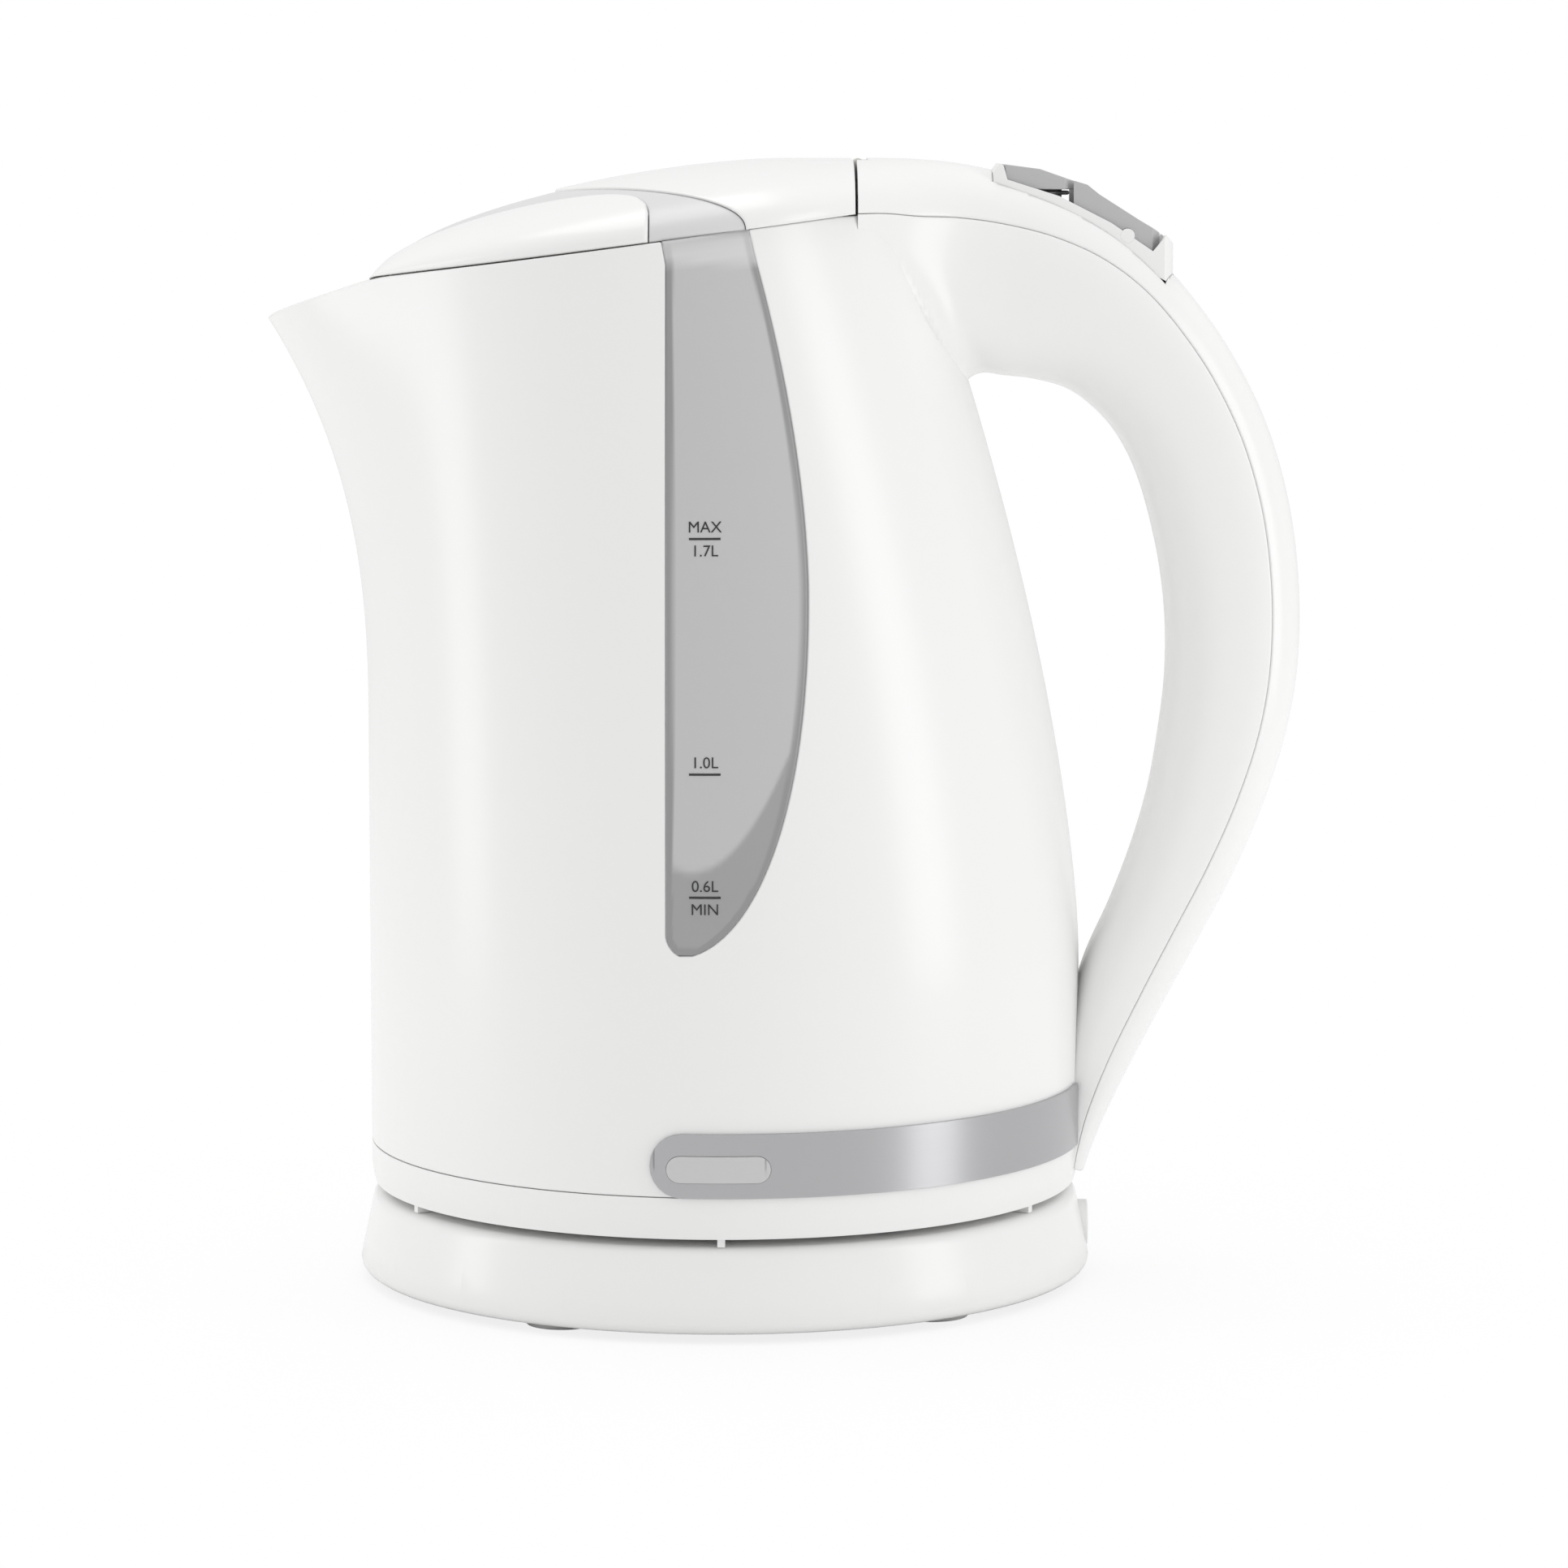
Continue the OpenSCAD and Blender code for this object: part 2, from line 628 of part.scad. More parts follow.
// Smooth curve through the stations at t, counted in stations
function smooth(t) = let (i = min(floor(t), station_last - 1), u = t - i,
    a = station(i - 1), b = station(i), c = station(i + 1), d = station(i + 2))
  (2 * b + (c - a) * u + (2 * a - 5 * b + 4 * c - d) * u * u
    + (3 * b - a - 3 * c + d) * u * u * u) / 2;
// Point of the handle's section at t: a is 0 at the outer point and 180 at the inner one
function signed_pow(v, p) = sign(v) * pow(abs(v), p);
function handle_point(t, a, d) =
  let (s = smooth(t), out = [s[0], s[1]], in = [s[2], s[3]],
    half = norm(out - in) / 2, dir = (out - in) / (2 * half), mid = (out + in) / 2,
    u = (half - d) * signed_pow(cos(a), 2 / round_power))
  [mid[0] + dir[0] * u, (s[4] - d) * signed_pow(sin(a), 2 / round_power), mid[1] + dir[1] * u];
function seam_angle(t) = let (s = smooth(t), half = norm([s[0] - s[2], s[1] - s[3]]) / 2)
  acos(signed_pow((half - s[5]) / half, round_power / 2));

// Closed profile of a curved plate at t, between angles from and to of the handle's section
function plate_ring(t, from, to, steps) = concat(
  [for (i = [0:steps]) handle_point(t, from + (to - from) * i / steps, 0)],
  [for (i = [steps:-1:0]) handle_point(t, from + (to - from) * i / steps, grip_wall)]);

// The body's outside where the handle sits on it: round at the foot, a leaning cone at the top
seat_gap = 0.3;
root_low = rim_z - 35;
root_high = rim_z + 7;
cone_reach = 10;
cone_gap = 0.75;
module handle_seat() {
  translate([0, 0, jug_z - 5]) cylinder(r = body_r + seat_gap, h = lean_from - jug_z + 5,
    $fn = round_fn);
  span = root_high - root_low;
  narrow = atan((side_y(root_low) - side_y(root_high)) / span);
  lean = atan((rear_x(root_low) - rear_x(root_high)) / span) - narrow;
  r = side_y(root_low) + seat_gap + 1;
  translate([rear_x(root_low) + cone_gap - r * cos(lean), 0, root_low - r * sin(lean)])
    rotate([0, -lean, 0]) translate([0, 0, -cone_reach])
      cylinder(r1 = r + cone_reach * tan(narrow), r2 = r - (span + cone_reach) * tan(narrow),
        h = span + 2 * cone_reach, $fn = round_fn);
}

steam_hole_z = rim_z - 14;
foot_screw_z = body_z + 9;
module jug_shell() {
  color("white") difference() {
    body_wall();
    lens_outline(fit);
    root_holes();
  }
}

// Holes through the rear wall and the handle's root: wires, foot screw and steam
wire_hole_r = 3.4;
steam_hole_r = 5;
root_hole_h = 15;
module root_holes() {
  translate([body_r - 10, 0, wire_z]) rotate([0, 90, 0])
    cylinder(r = wire_hole_r, h = root_hole_h, $fn = 32);
  translate([body_r - 10, 0, foot_screw_z]) rotate([0, 90, 0])
    cylinder(r = screw_r + fit, h = root_hole_h - 1.8, $fn = 32);
  translate([rear_x(steam_hole_z) - 8, 0, steam_hole_z]) rotate([0, 90, 0])
    cylinder(r = steam_hole_r, h = root_hole_h - 1, $fn = 32);
}

module handle_grip() {
  color("white") resize([0, 0, 0]) difference() {
    ring_loft([for (k = [0:handle_steps]) let (t = station_last * k / handle_steps,
      a = seam_angle(t)) plate_ring(t, a, 360 - a, 14)]);
    handle_seat();
    root_holes();
  }
}

// ---- Switch block on top of the handle ----
// Heights are measured down from the crown and x outwards from the body's side
function block(p) = [body_r + p[0], crown_z - p[1]];
cover_line = [for (p = [[-21, 3.2], [-16.5, 4.5], [-5.5, 8], [5.5, 13.6], [14.4, 19.6], [20, 24]])
  block(p)];
top_line = [for (p = [[-18.3, 1.2], [-9.5, 2.3], [-3.5, 4.4], [0.5, 5.6], [3, 7.6],
  [11.5, 13], [17.6, 16.6]]) block(p)];
block_front = body_r - 18.2;
block_rear = body_r + 17.8;
split_r = 15;
split_x = body_r - 0.7 - split_r;
rear_r = 25;
rear_round_x = block_rear - rear_r;
pivot = block([9, 16.3]);
rocker_gap = 1.4;
bezel_t = 1;

module slot_block(y) {
  side_prism(concat([for (p = top_line) [p[0], p[1] + 12]],
    [[block_rear + 10, crown_z], [block_rear + 10, crown_z - 45], [block_front, crown_z - 45]]),
    -y, y);
}
module upright(x, r) {
  translate([x, 0, crown_z - 60]) cylinder(r = r, h = 90, $fn = round_fn);
}

module handle_cover() {
  front = lid_rear + 2;
  // A resize by nothing takes the cut plate as one mesh
  color("white") resize([0, 0, 0]) difference() {
    union() {
      ring_loft([for (k = [0:handle_steps]) let (t = station_last * k / handle_steps,
        a = seam_angle(t) - seam_gap) plate_ring(t, -a, a, 10)]);
      translate([body_r + 3.3, 0, foot_screw_z]) rotate([0, 90, 0])
        cylinder(r = 3.2, h = 3, $fn = 32);
    }
    translate([0, 0, jug_z - 5]) cylinder(r = body_r + seat_gap, h = lean_from - jug_z + 5,
      $fn = round_fn);
    translate([body_r, 0, foot_screw_z]) rotate([0, 90, 0])
      cylinder(r = screw_r + fit, h = 6.3 - 0.8, $fn = 32);
    translate([front - 20, -60, rim_z - 20]) cube([20, 120, 60]);
    translate([front - 1, -knuckle_w - 4, rim_z - 20]) cube([2.2, 2 * knuckle_w + 8, 60]);
    intersection() {
      side_prism([[block_front - 1.4, crown_z + 9], [block_front - 1.4, crown_z - 14],
        [block_rear + 2, crown_z - 30], [block_rear + 2, crown_z + 9]],
        -switch_w - bezel_t - skin, switch_w + bezel_t + skin);
      upright(rear_round_x, rear_r + 1.6);
    }
  }
}

// Height of the bezel's sloping underside at x
function bezel_low(x) = lookup(x, [[block_front - 1.3, crown_z - 17], [body_r, crown_z - 17],
  [block_rear + 1.5, crown_z - 27]]);
module switch_bezel() {
  x0 = block_front - 1.3;
  x1 = block_rear + 1.5;
  split = split_x + split_r + rocker_gap;
  color("white") difference() {
    intersection() {
      side_prism(concat(
      [[x0, bezel_low(x0)], [x0, crown_z - 3], [block_front + 0.2, crown_z - 1.1],
        [block_front + 0.9, crown_z - 1.6], cover_line[1]],
      [for (i = [2:4]) cover_line[i]],
      [[block_rear - 0.6, crown_z - 16.2], [x1, crown_z - 18.2], [x1, bezel_low(x1)],
        [body_r, bezel_low(body_r)]]),
      -switch_w - bezel_t, switch_w + bezel_t);
      upright(rear_round_x, rear_r + 1.5);
    }
    intersection() {
      slot_block(switch_w);
      upright(rear_round_x, rear_r);
      translate([split - rocker_gap, -50, crown_z - 60]) cube([60, 100, 90]);
    }
    intersection() {
      slot_block(switch_w);
      translate([block_front + 0.9, -50, spring_low]) cube([split - block_front - 1, 100, 90]);
    }
    translate([stem_x, 0, crown_z - 60]) cylinder(r = stem_r + gap, h = 60, $fn = 32);
    translate([x0 - 1, -hook_w - gap, latch_z - gap]) cube([10, 2 * (hook_w + gap), latch_t + 2 * gap]);
    round_y(pivot[0], pivot[1], rocker_pin_r, -20, 20);
  }
}

module power_switch() {
  y = switch_w - gap;
  color("gray") difference() {
    intersection() {
      side_prism(concat([for (i = [2:6]) top_line[i]],
        [[block_rear, crown_z - 19], [pivot[0] + 3, pivot[1] - 4.5], [pivot[0] - 1, pivot[1] - 4.5],
          [block_rear - 22.5, crown_z - 9]]), -y, y);
      upright(rear_round_x, rear_r - rocker_gap);
    }
    upright(split_x, split_r + rocker_gap);
    round_y(pivot[0], pivot[1], rocker_pin_r + fit, -20, 20);
  }
}

module switch_pin() {
  color("silver") round_y(pivot[0], pivot[1], rocker_pin_r, -switch_w - bezel_t,
    switch_w + bezel_t);
}

stem_x = body_r - 7.5;
stem_r = 3;
button_low = crown_z - 6.6;
stem_h = 7;
spring_r = 4.2;
spring_wire = 0.45;
spring_turns = 4;
spring_low = crown_z - 15;

module lid_button() {
  y = switch_w - gap;
  color("gray") {
    intersection() {
      side_prism(concat([for (i = [0:3]) top_line[i] + (i == 0 ? [gap + 1, -0.1] : [0, 0])],
        [[body_r, button_low], [block_front + gap + 1, button_low]]), -y, y);
      upright(split_x, split_r);
    }
    translate([stem_x, 0, button_low - stem_h]) cylinder(r = stem_r, h = stem_h + eps, $fn = 32);
  }
}

module button_spring() {
  color("silver") for (k = [0:spring_turns - 1])
    translate([stem_x, 0, spring_low + spring_wire
      + (button_low - gap - spring_low - 2 * spring_wire) * k / (spring_turns - 1)])
      rotate_extrude($fn = 32) translate([spring_r, 0]) circle(r = spring_wire, $fn = 16);
}

// ================= Lid =================
crown_power_x = 1.55;
crown_power_z = 1.7;
crown_x = 12;
arch_power = 2.2;
strip_share = 0.54;
band_back = 5;
band_fore = 14.6;
wing_power = 2.8;
seam = 0.5;
edge_lift = 0.4;

// Height of the crown line above the lid's edge at x
function crest_at(x) = let (u = min(1, max(0, crown_x - x) / (crown_x + lid_front)))
  rim_at(-lid_front) + (crown_z - rim_at(-lid_front)) * pow(1 - pow(u, crown_power_x),
    1 / crown_power_z);
rim_outline = [for (a = [180:-4:0]) section(a, near_rim_z + 3, 0)];
function lid_width(x) = lookup(x, rim_outline);
// Point of the lid's dome at x, at the share v of its half width, depth d below the surface
function arch(v) = pow(max(0, 1 - pow(v, arch_power)), 1 / arch_power);
function lid_point(x, v, d) =
  let (h = max(1, crest_at(x) - rim_at(x) - edge_lift) - d)
  [x, (lid_width(x) - d) * v, rim_at(x) + edge_lift + h * arch(abs(v))];
function tongue_x(v) = -tongue_front + (tongue_front + band_back) * v * v;
function wing_x(v) = v <= strip_share ? -lid_front : -lid_front + (lid_front - band_fore)
  * pow(1 - pow((1 - v) / (1 - strip_share), wing_power), 1 / wing_power);
function wing_v(x) = 1 - (1 - strip_share)
  * pow(max(0, 1 - pow((x + lid_front) / (lid_front - band_fore), wing_power)), 1 / wing_power);
// Even steps along the arch: share of the width for a step k of n
function arch_step(k, n) = pow(sin(90 * k / n), 2 / arch_power);

module wing() {
  steps = 20;
  across = 6;
  x0 = -lid_front;
  x1 = -band_fore - 1.2;
  // closer stations towards both ends
  function x_at(i) = x0 + (x1 - x0) * (1 - cos(180 * i / steps)) / 2;
  function v_at(x, k) = let (low = wing_v(x) + seam / lid_width(x),
      a0 = asin(pow(min(1, low), arch_power / 2)))
    pow(sin(a0 + (90 - a0) * k / across), 2 / arch_power);
  plate_between(
    [for (i = [0:steps]) [for (k = [across:-1:0]) let (x = x_at(i)) lid_point(x, v_at(x, k), 0)]],
    [for (i = [0:steps]) [for (k = [across:-1:0]) let (x = x_at(i))
      lid_point(x, v_at(x, k), lid_t)]]);
}

module lid_wings() {
  color("white") {
    mirror([0, 1, 0]) wing();
    wing();
  }
}

inlay_shares = [0, 0.16, 0.32, 0.44, 0.51, 0.53, 0.5415, 0.545, 0.55, 0.565, 0.6, 0.66, 0.73,
  0.8, 0.88, 0.94, 0.98, 1];
module dome_patch(shares, from_fn, steps) {
  signed = concat([for (i = [len(shares) - 1:-1:1]) -shares[i]], shares);
  plate_between(
    [for (v = signed) [for (k = [0:steps]) lid_point(from_fn(abs(v), k / steps), v, 0)]],
    [for (v = signed) [for (k = [0:steps]) lid_point(from_fn(abs(v), k / steps), v, lid_t)]]);
}

module lid_inlay() {
  color("lightgray") dome_patch(inlay_shares,
    function (v, u) let (a = wing_x(v) + (v > strip_share ? seam : 0)) a
      + (tongue_x(v) - seam - a) * u, 8);
}

knuckle_w = 9;
hinge_x = lid_rear + 1.2;
hinge_z = crown_z - 1.25;
knuckle_r = 1.2;
hook_w = 5;
hook_x = hinge_x + 8;
hook_z = rim_z + 6.1;
rear_shares = [0, 0.15, 0.3, 0.42, 0.54, 0.64, 0.72, 0.8, 0.87, 0.93, 0.98, 1];

module lid_rear_shell() {
  color("white") dome_patch(rear_shares,
    function (v, u) tongue_x(v) + seam + (lid_rear - tongue_x(v) - seam) * u, 9);
}

// Inner cup of the lid, parallel to the tilted rim
rim_angle = atan(rim_tilt);
cup_gap = 3;
cup_t = 1.8;
cup_front = 11.4 - lid_front;
cup_rear = lid_rear - 1.8;
module cup_outline(d) {
  intersection() {
    polygon([for (a = [0:6:354]) [middle_x(rim_z) + (half_length(rim_z) - wall - d) * cos(a),
      (side_y(rim_z) - wall - d) * sin(a)]]);
    translate([cup_front + d - cup_gap, -100]) square([cup_rear - cup_front - 2 * (d - cup_gap),
      200]);
  }
}
module on_rim(dz) {
  translate([0, 0, rim_z + dz]) rotate([0, -rim_angle, 0]) children();
}

boss_spots = [[-48, 22], [-48, -22], [8, 34], [8, -34]];
module lid_liner() {
  color("gainsboro") difference() {
    union() {
      on_rim(-liner_h) linear_extrude(cup_t) cup_outline(cup_gap);
      on_rim(-liner_h) difference() {
        linear_extrude(liner_h + 1) cup_outline(cup_gap);
        translate([0, 0, -1]) linear_extrude(liner_h + 3) cup_outline(cup_gap + cup_t);
      }
      side_prism([[cup_rear - 4, rim_z - 2], [cup_rear - 2.6, rim_z - 2], [cup_rear - 2.6, rim_z + 2],
        [cup_rear - 1, rim_z + 4], [cup_rear, rim_z + 6], [cup_rear, hinge_z - 6],
        [hinge_x + 1, hinge_z - 2], [hinge_x + 1, hinge_z], [hinge_x - 0.6, hinge_z],
        [hinge_x - 0.6, crown_z - lid_t - gap], [cup_rear - 3, hinge_z - 4]],
        -knuckle_w, knuckle_w);
      round_y(hinge_x, hinge_z, knuckle_r, -knuckle_w, knuckle_w);
      side_prism([[cup_rear - 1, hook_z], [hook_x, hook_z], [hook_x, hook_z + 2],
        [cup_rear - 1, hook_z + 3]], -hook_w, hook_w);
      for (p = boss_spots) let (v = abs(p[1]) / lid_width(p[0]),
          low = rim_at(p[0]) - liner_h + 1,
          high = lid_point(p[0], min(1, v + 4 / lid_width(p[0])), lid_t)[2] - gap - 0.8)
        translate([p[0], p[1], low]) cylinder(r = 3.5, h = high - low, $fn = 32);
    }
    for (p = boss_spots) translate([p[0], p[1], rim_at(p[0]) - liner_h - 2])
      cylinder(r = screw_r + fit, h = 14, $fn = 32);
    round_y(hinge_x, hinge_z, hinge_pin_r + fit, -knuckle_w - 1, knuckle_w + 1);
  }
}

module lid_seal() {
  color("gray") on_rim(-liner_h) translate([0, 0, liner_h - 6.5]) difference() {
    linear_extrude(4.5) cup_outline(cup_gap - 1.1);
    translate([0, 0, -1]) linear_extrude(8) cup_outline(cup_gap - fit);
  }
}

module lid_screws() {
  color("silver") for (p = boss_spots)
    translate([p[0], p[1], 0]) screw(rim_at(p[0]) - liner_h - 1.6, 11, 1);
}

// ---- Hinge, catch and what is inside the handle's top ----
bridge_z = rim_z - 2.4;
bridge_t = 2;
ear_y = knuckle_w + 2.1;
ear_t = 3.6;
module hinge_bridge() {
  color("gainsboro") difference() {
    union() {
      intersection() {
        translate([0, 0, bridge_z]) linear_extrude(bridge_t) polygon([for (a = [-60:4:60])
          section(a, bridge_z + bridge_t, wall + fit)]);
        translate([hinge_x + 0.2, -50, bridge_z - 5]) cube([60, 100, 20]);
      }
      for (s = [-1, 1]) {
        side_prism([[hinge_x - 1.1, hinge_z], [hinge_x + 1.1, hinge_z], [hinge_x + 3.5, hinge_z - 4],
          [hinge_x + 3.5, bridge_z + 1], [hinge_x + 0.5, bridge_z + 1]],
          s * ear_y - ear_t / 2, s * ear_y + ear_t / 2);
        round_y(hinge_x, hinge_z, 1.1, s * ear_y - ear_t / 2, s * ear_y + ear_t / 2);
      }
    }
    round_y(hinge_x, hinge_z, hinge_pin_r, -30, 30);
  }
}

module hinge_pin() {
  color("silver") round_y(hinge_x, hinge_z, hinge_pin_r, -ear_y - ear_t / 2, ear_y + ear_t / 2);
}

latch_z = hook_z - gap - 1.6;
latch_t = 1.6;
latch_reach = 1.4;
latch_w = 8;
// A bolt under the lid's hook, with a fork round the button's stem and spring
module lid_latch() {
  fork = spring_r + spring_wire + gap;
  fork_x = stem_x - fork - button_travel;
  color("gainsboro") difference() {
    union() {
      translate([hook_x - latch_reach, -hook_w, latch_z])
        cube([fork_x - hook_x + latch_reach, 2 * hook_w, latch_t]);
      translate([fork_x - 1.6, -latch_w, latch_z])
        cube([fork + button_travel + 4, 2 * latch_w, latch_t]);
    }
    translate([fork_x, -fork, latch_z - 1]) cube([40, 2 * fork, 5]);
  }
}

// The steam switch hangs below the bezel, its bimetal disc facing the hole in the rear wall
steam_front = body_r - 13;
steam_low = crown_z - 41;
steam_disc_z = steam_low + 9;
module steam_switch() {
  color("dimgray") difference() {
    side_prism([[steam_front, steam_low], [steam_front + 20, steam_low + 2],
      [steam_front + 20, bezel_low(steam_front + 20) - 1.4],
      [steam_front + 12, bezel_low(steam_front + 12) - fit],
      [steam_front, bezel_low(steam_front) - fit]], -9, 9);
    translate([steam_front - 1, 0, steam_disc_z]) rotate([0, 90, 0])
      cylinder(r = 7.2, h = 2, $fn = 48);
  }
}

module steam_bimetal() {
  color("goldenrod") translate([steam_front + fit, 0, steam_disc_z]) rotate([0, 90, 0])
    cylinder(r = 7, h = 0.7, $fn = 48);
}

// Wires run down the hollow handle and through the wall to the control unit
wire_r = 0.9;
wire_gap = 2.6;
wire_z = body_z + 14.6;
wire_path = concat(
  [[steam_front + 12, steam_low + 0.6], [steam_front + 13, steam_low - 1]],
  [for (t = [8:18]) let (s = smooth(t)) [(s[0] + s[2]) / 2 - 1, (s[1] + s[3]) / 2]],
  [[body_r + 3, wire_z + 2], [body_r - 3, wire_z], [body_r - 14, wire_z - 2],
    [27, control_z + 7], [24.4, control_z + 6]]);
function path_normal(i) = let (n = len(wire_path),
    d = wire_path[min(n - 1, i + 1)] - wire_path[max(0, i - 1)], l = norm(d))
  [-d[1] / l, d[0] / l];
module switch_wires() {
  color("red") for (s = [-1, 1])
    ring_loft([for (i = [0:len(wire_path) - 1]) let (c = wire_path[i], n = path_normal(i))
      [for (a = [0:60:300]) [c[0] + n[0] * wire_r * cos(a), s * wire_gap / 2 + wire_r * sin(a),
        c[1] + n[1] * wire_r * cos(a)]]]);
}

module handle_screw() {
  color("silver") translate([body_r - wall - 1.6, 0, foot_screw_z]) rotate([0, 90, 0])
    screw(0, 8, 1.2);
}

// ---- Spout filter ----
filter_x = 0.5 - body_r;
filter_low = tip_z - 22;
filter_high = tip_z + 1;
filter_t = 1.2;
module filter_outline(d) {
  steps = 8;
  polygon(concat(
    [for (i = [0:steps]) let (z = filter_low + d + (filter_high - filter_low - 2 * d) * i / steps)
      [width_at(filter_x, z, wall) - gap - d, z]],
    [for (i = [steps:-1:0]) let (z = filter_low + d + (filter_high - filter_low - 2 * d) * i / steps)
      [-width_at(filter_x, z, wall) + gap + d, z]]));
}

module spout_filter() {
  color("gray") translate([filter_x, 0, 0]) rotate([90, 0, 90]) linear_extrude(filter_t)
    difference() {
      filter_outline(0);
      filter_outline(2);
    }
}

module filter_mesh() {
  color("silver") translate([filter_x + filter_t / 2 - 0.2, 0, 0]) rotate([90, 0, 90])
    linear_extrude(0.4) filter_outline(2 + fit);
}

base_cover();
base_plate();
base_feet();
base_screws();
base_socket();
socket_contacts();
cord_gland();
swivel_ring();
bottom_ring();
bottom_screws();
jug_connector();
connector_pin();
control_unit();
bimetal_discs();
heating_element();
heat_spreader();
heating_plate();
plate_seal();
clamp_ring();
jug_shell();
handle_grip();
water_window_left();
water_window_right();
trim_band_left();
trim_band_right();
pilot_lens();
pilot_lamp();
spout_filter();
filter_mesh();
handle_cover();
handle_screw();
switch_bezel();
power_switch();
switch_pin();
steam_switch();
steam_bimetal();
switch_wires();
lid_button();
button_spring();
lid_latch();
hinge_bridge();
hinge_pin();
lid_wings();
lid_inlay();
lid_rear_shell();
lid_liner();
lid_seal();
lid_screws();
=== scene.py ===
# Cordless electric kettle in white polypropylene on its power base.
# Metres in Blender; the shape functions below work in millimetres.
# The turning axis is Z, the spout points to -X and the handle to +X.

from math import radians

import bmesh
import bpy
import numpy as np
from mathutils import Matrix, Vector


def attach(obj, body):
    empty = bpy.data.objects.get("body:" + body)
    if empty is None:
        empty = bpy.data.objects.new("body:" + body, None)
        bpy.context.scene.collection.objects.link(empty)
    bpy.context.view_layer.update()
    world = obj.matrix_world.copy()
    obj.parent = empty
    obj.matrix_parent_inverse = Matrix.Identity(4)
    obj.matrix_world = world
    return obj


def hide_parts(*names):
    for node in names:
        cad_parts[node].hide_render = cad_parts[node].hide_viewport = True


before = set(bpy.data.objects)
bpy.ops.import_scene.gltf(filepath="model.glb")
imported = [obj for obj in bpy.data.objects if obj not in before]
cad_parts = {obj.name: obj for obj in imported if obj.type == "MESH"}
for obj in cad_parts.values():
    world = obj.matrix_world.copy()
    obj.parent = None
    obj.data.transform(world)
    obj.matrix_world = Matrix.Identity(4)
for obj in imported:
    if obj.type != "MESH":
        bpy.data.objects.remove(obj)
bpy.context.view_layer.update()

# ---- Camera ----
# A long lens a little above the lid, looking slightly down at the kettle's side.
camera_place = (0.01283, -1.185, 0.244)
camera_tilt = 6.637
lens_mm, sensor_mm = 126.9, 36


def new_object(name, data):
    """A new object in the scene that shows data."""
    made = bpy.data.objects.new(name, data)
    bpy.context.scene.collection.objects.link(made)
    return made


camera_data = bpy.data.cameras.new("camera")
camera_data.sensor_width = sensor_mm
camera_data.lens = lens_mm
camera = new_object("camera", camera_data)
camera.location = camera_place
camera.rotation_euler = (radians(90 - camera_tilt), 0, 0)
bpy.context.scene.camera = camera
bpy.context.scene.view_settings.view_transform = "Standard"


# ---- Studio: white sweep, softboxes and an even white surround ----
# The floor is white card that keeps the kettle's soft shadow close to it. Two strip softboxes stand
# on the floor at the kettle's sides, and a third one hangs above.
floor_size = 6.0
surround_level = 0.77
shadow_share, shadow_reach = 0.22, 0.3


def linear(code):
    """Linear colour with alpha 1 from an sRGB hex code: c / 12.92 in the darks, and
    ((c + 0.055) / 1.055) ** 2.4 above them."""
    srgb = [int(code[i:i + 2], 16) / 255 for i in (1, 3, 5)]
    return tuple(c / 12.92 if c <= 0.04045 else ((c + 0.055) / 1.055) ** 2.4 for c in srgb) + (1,)


def add(tree, kind, values=None, links=None, **settings):
    """A new shader node, with values for its sockets, links from other nodes, and settings."""
    made = tree.nodes.new(kind)
    for name, value in settings.items():
        setattr(made, name, value)
    for name, value in (values or {}).items():
        made.inputs[name].default_value = value
    for name, output in (links or {}).items():
        tree.links.new(output, made.inputs[name])
    return made


def background_rays(tree):
    """1 for rays that should meet plain white: seen directly or through something clear."""
    path = add(tree, "ShaderNodeLightPath")
    return add(tree, "ShaderNodeMath", operation="MAXIMUM", links={
        0: path.outputs["Is Camera Ray"], 1: path.outputs["Is Transmission Ray"]}).outputs[0]


def new_material(name):
    """A new material and its node tree."""
    material = bpy.data.materials.new(name)
    material.use_nodes = True
    return material, material.node_tree


world = bpy.data.worlds.new("white_surround")
world.use_nodes = True
bpy.context.scene.world = world
tree = world.node_tree
tree.nodes.clear()
even = add(tree, "ShaderNodeBackground", {"Color": (1, 1, 1, 1), "Strength": surround_level})
white = add(tree, "ShaderNodeBackground", {"Color": (1, 1, 1, 1), "Strength": 1.0})
mixed = add(tree, "ShaderNodeMixShader", links={
    0: background_rays(tree), 1: even.outputs[0], 2: white.outputs[0]})
add(tree, "ShaderNodeOutputWorld", links={"Surface": mixed.outputs[0]})

card, tree = new_material("white_card")
tree.nodes.clear()
matt = add(tree, "ShaderNodeBsdfDiffuse", {"Color": linear("#F7F7F7")})
bright = add(tree, "ShaderNodeEmission", {"Color": (1, 1, 1, 1), "Strength": 1.0})
from_kettle = add(tree, "ShaderNodeMapping", {"Scale": (1 / shadow_reach,) * 3},
                  {"Vector": add(tree, "ShaderNodeTexCoord").outputs["Object"]})
near = add(tree, "ShaderNodeTexGradient", links={"Vector": from_kettle.outputs[0]},
           gradient_type="SPHERICAL")
kept = add(tree, "ShaderNodeMath", {1: -shadow_share, 2: 1.0}, {0: near.outputs["Fac"]},
           operation="MULTIPLY_ADD")
share_seen = add(tree, "ShaderNodeMath", links={0: kept.outputs[0], 1: background_rays(tree)},
                 operation="MULTIPLY")
mixed = add(tree, "ShaderNodeMixShader", links={
    0: share_seen.outputs[0], 1: matt.outputs[0], 2: bright.outputs[0]})
add(tree, "ShaderNodeOutputMaterial", links={"Surface": mixed.outputs[0]})

half = floor_size / 2
floor_mesh = bpy.data.meshes.new("floor")
floor_mesh.from_pydata([(-half, -half, 0), (half, -half, 0), (half, half, 0), (-half, half, 0)], [],
                       [(0, 1, 2, 3)])
floor_mesh.materials.append(card)
floor = new_object("floor", floor_mesh)


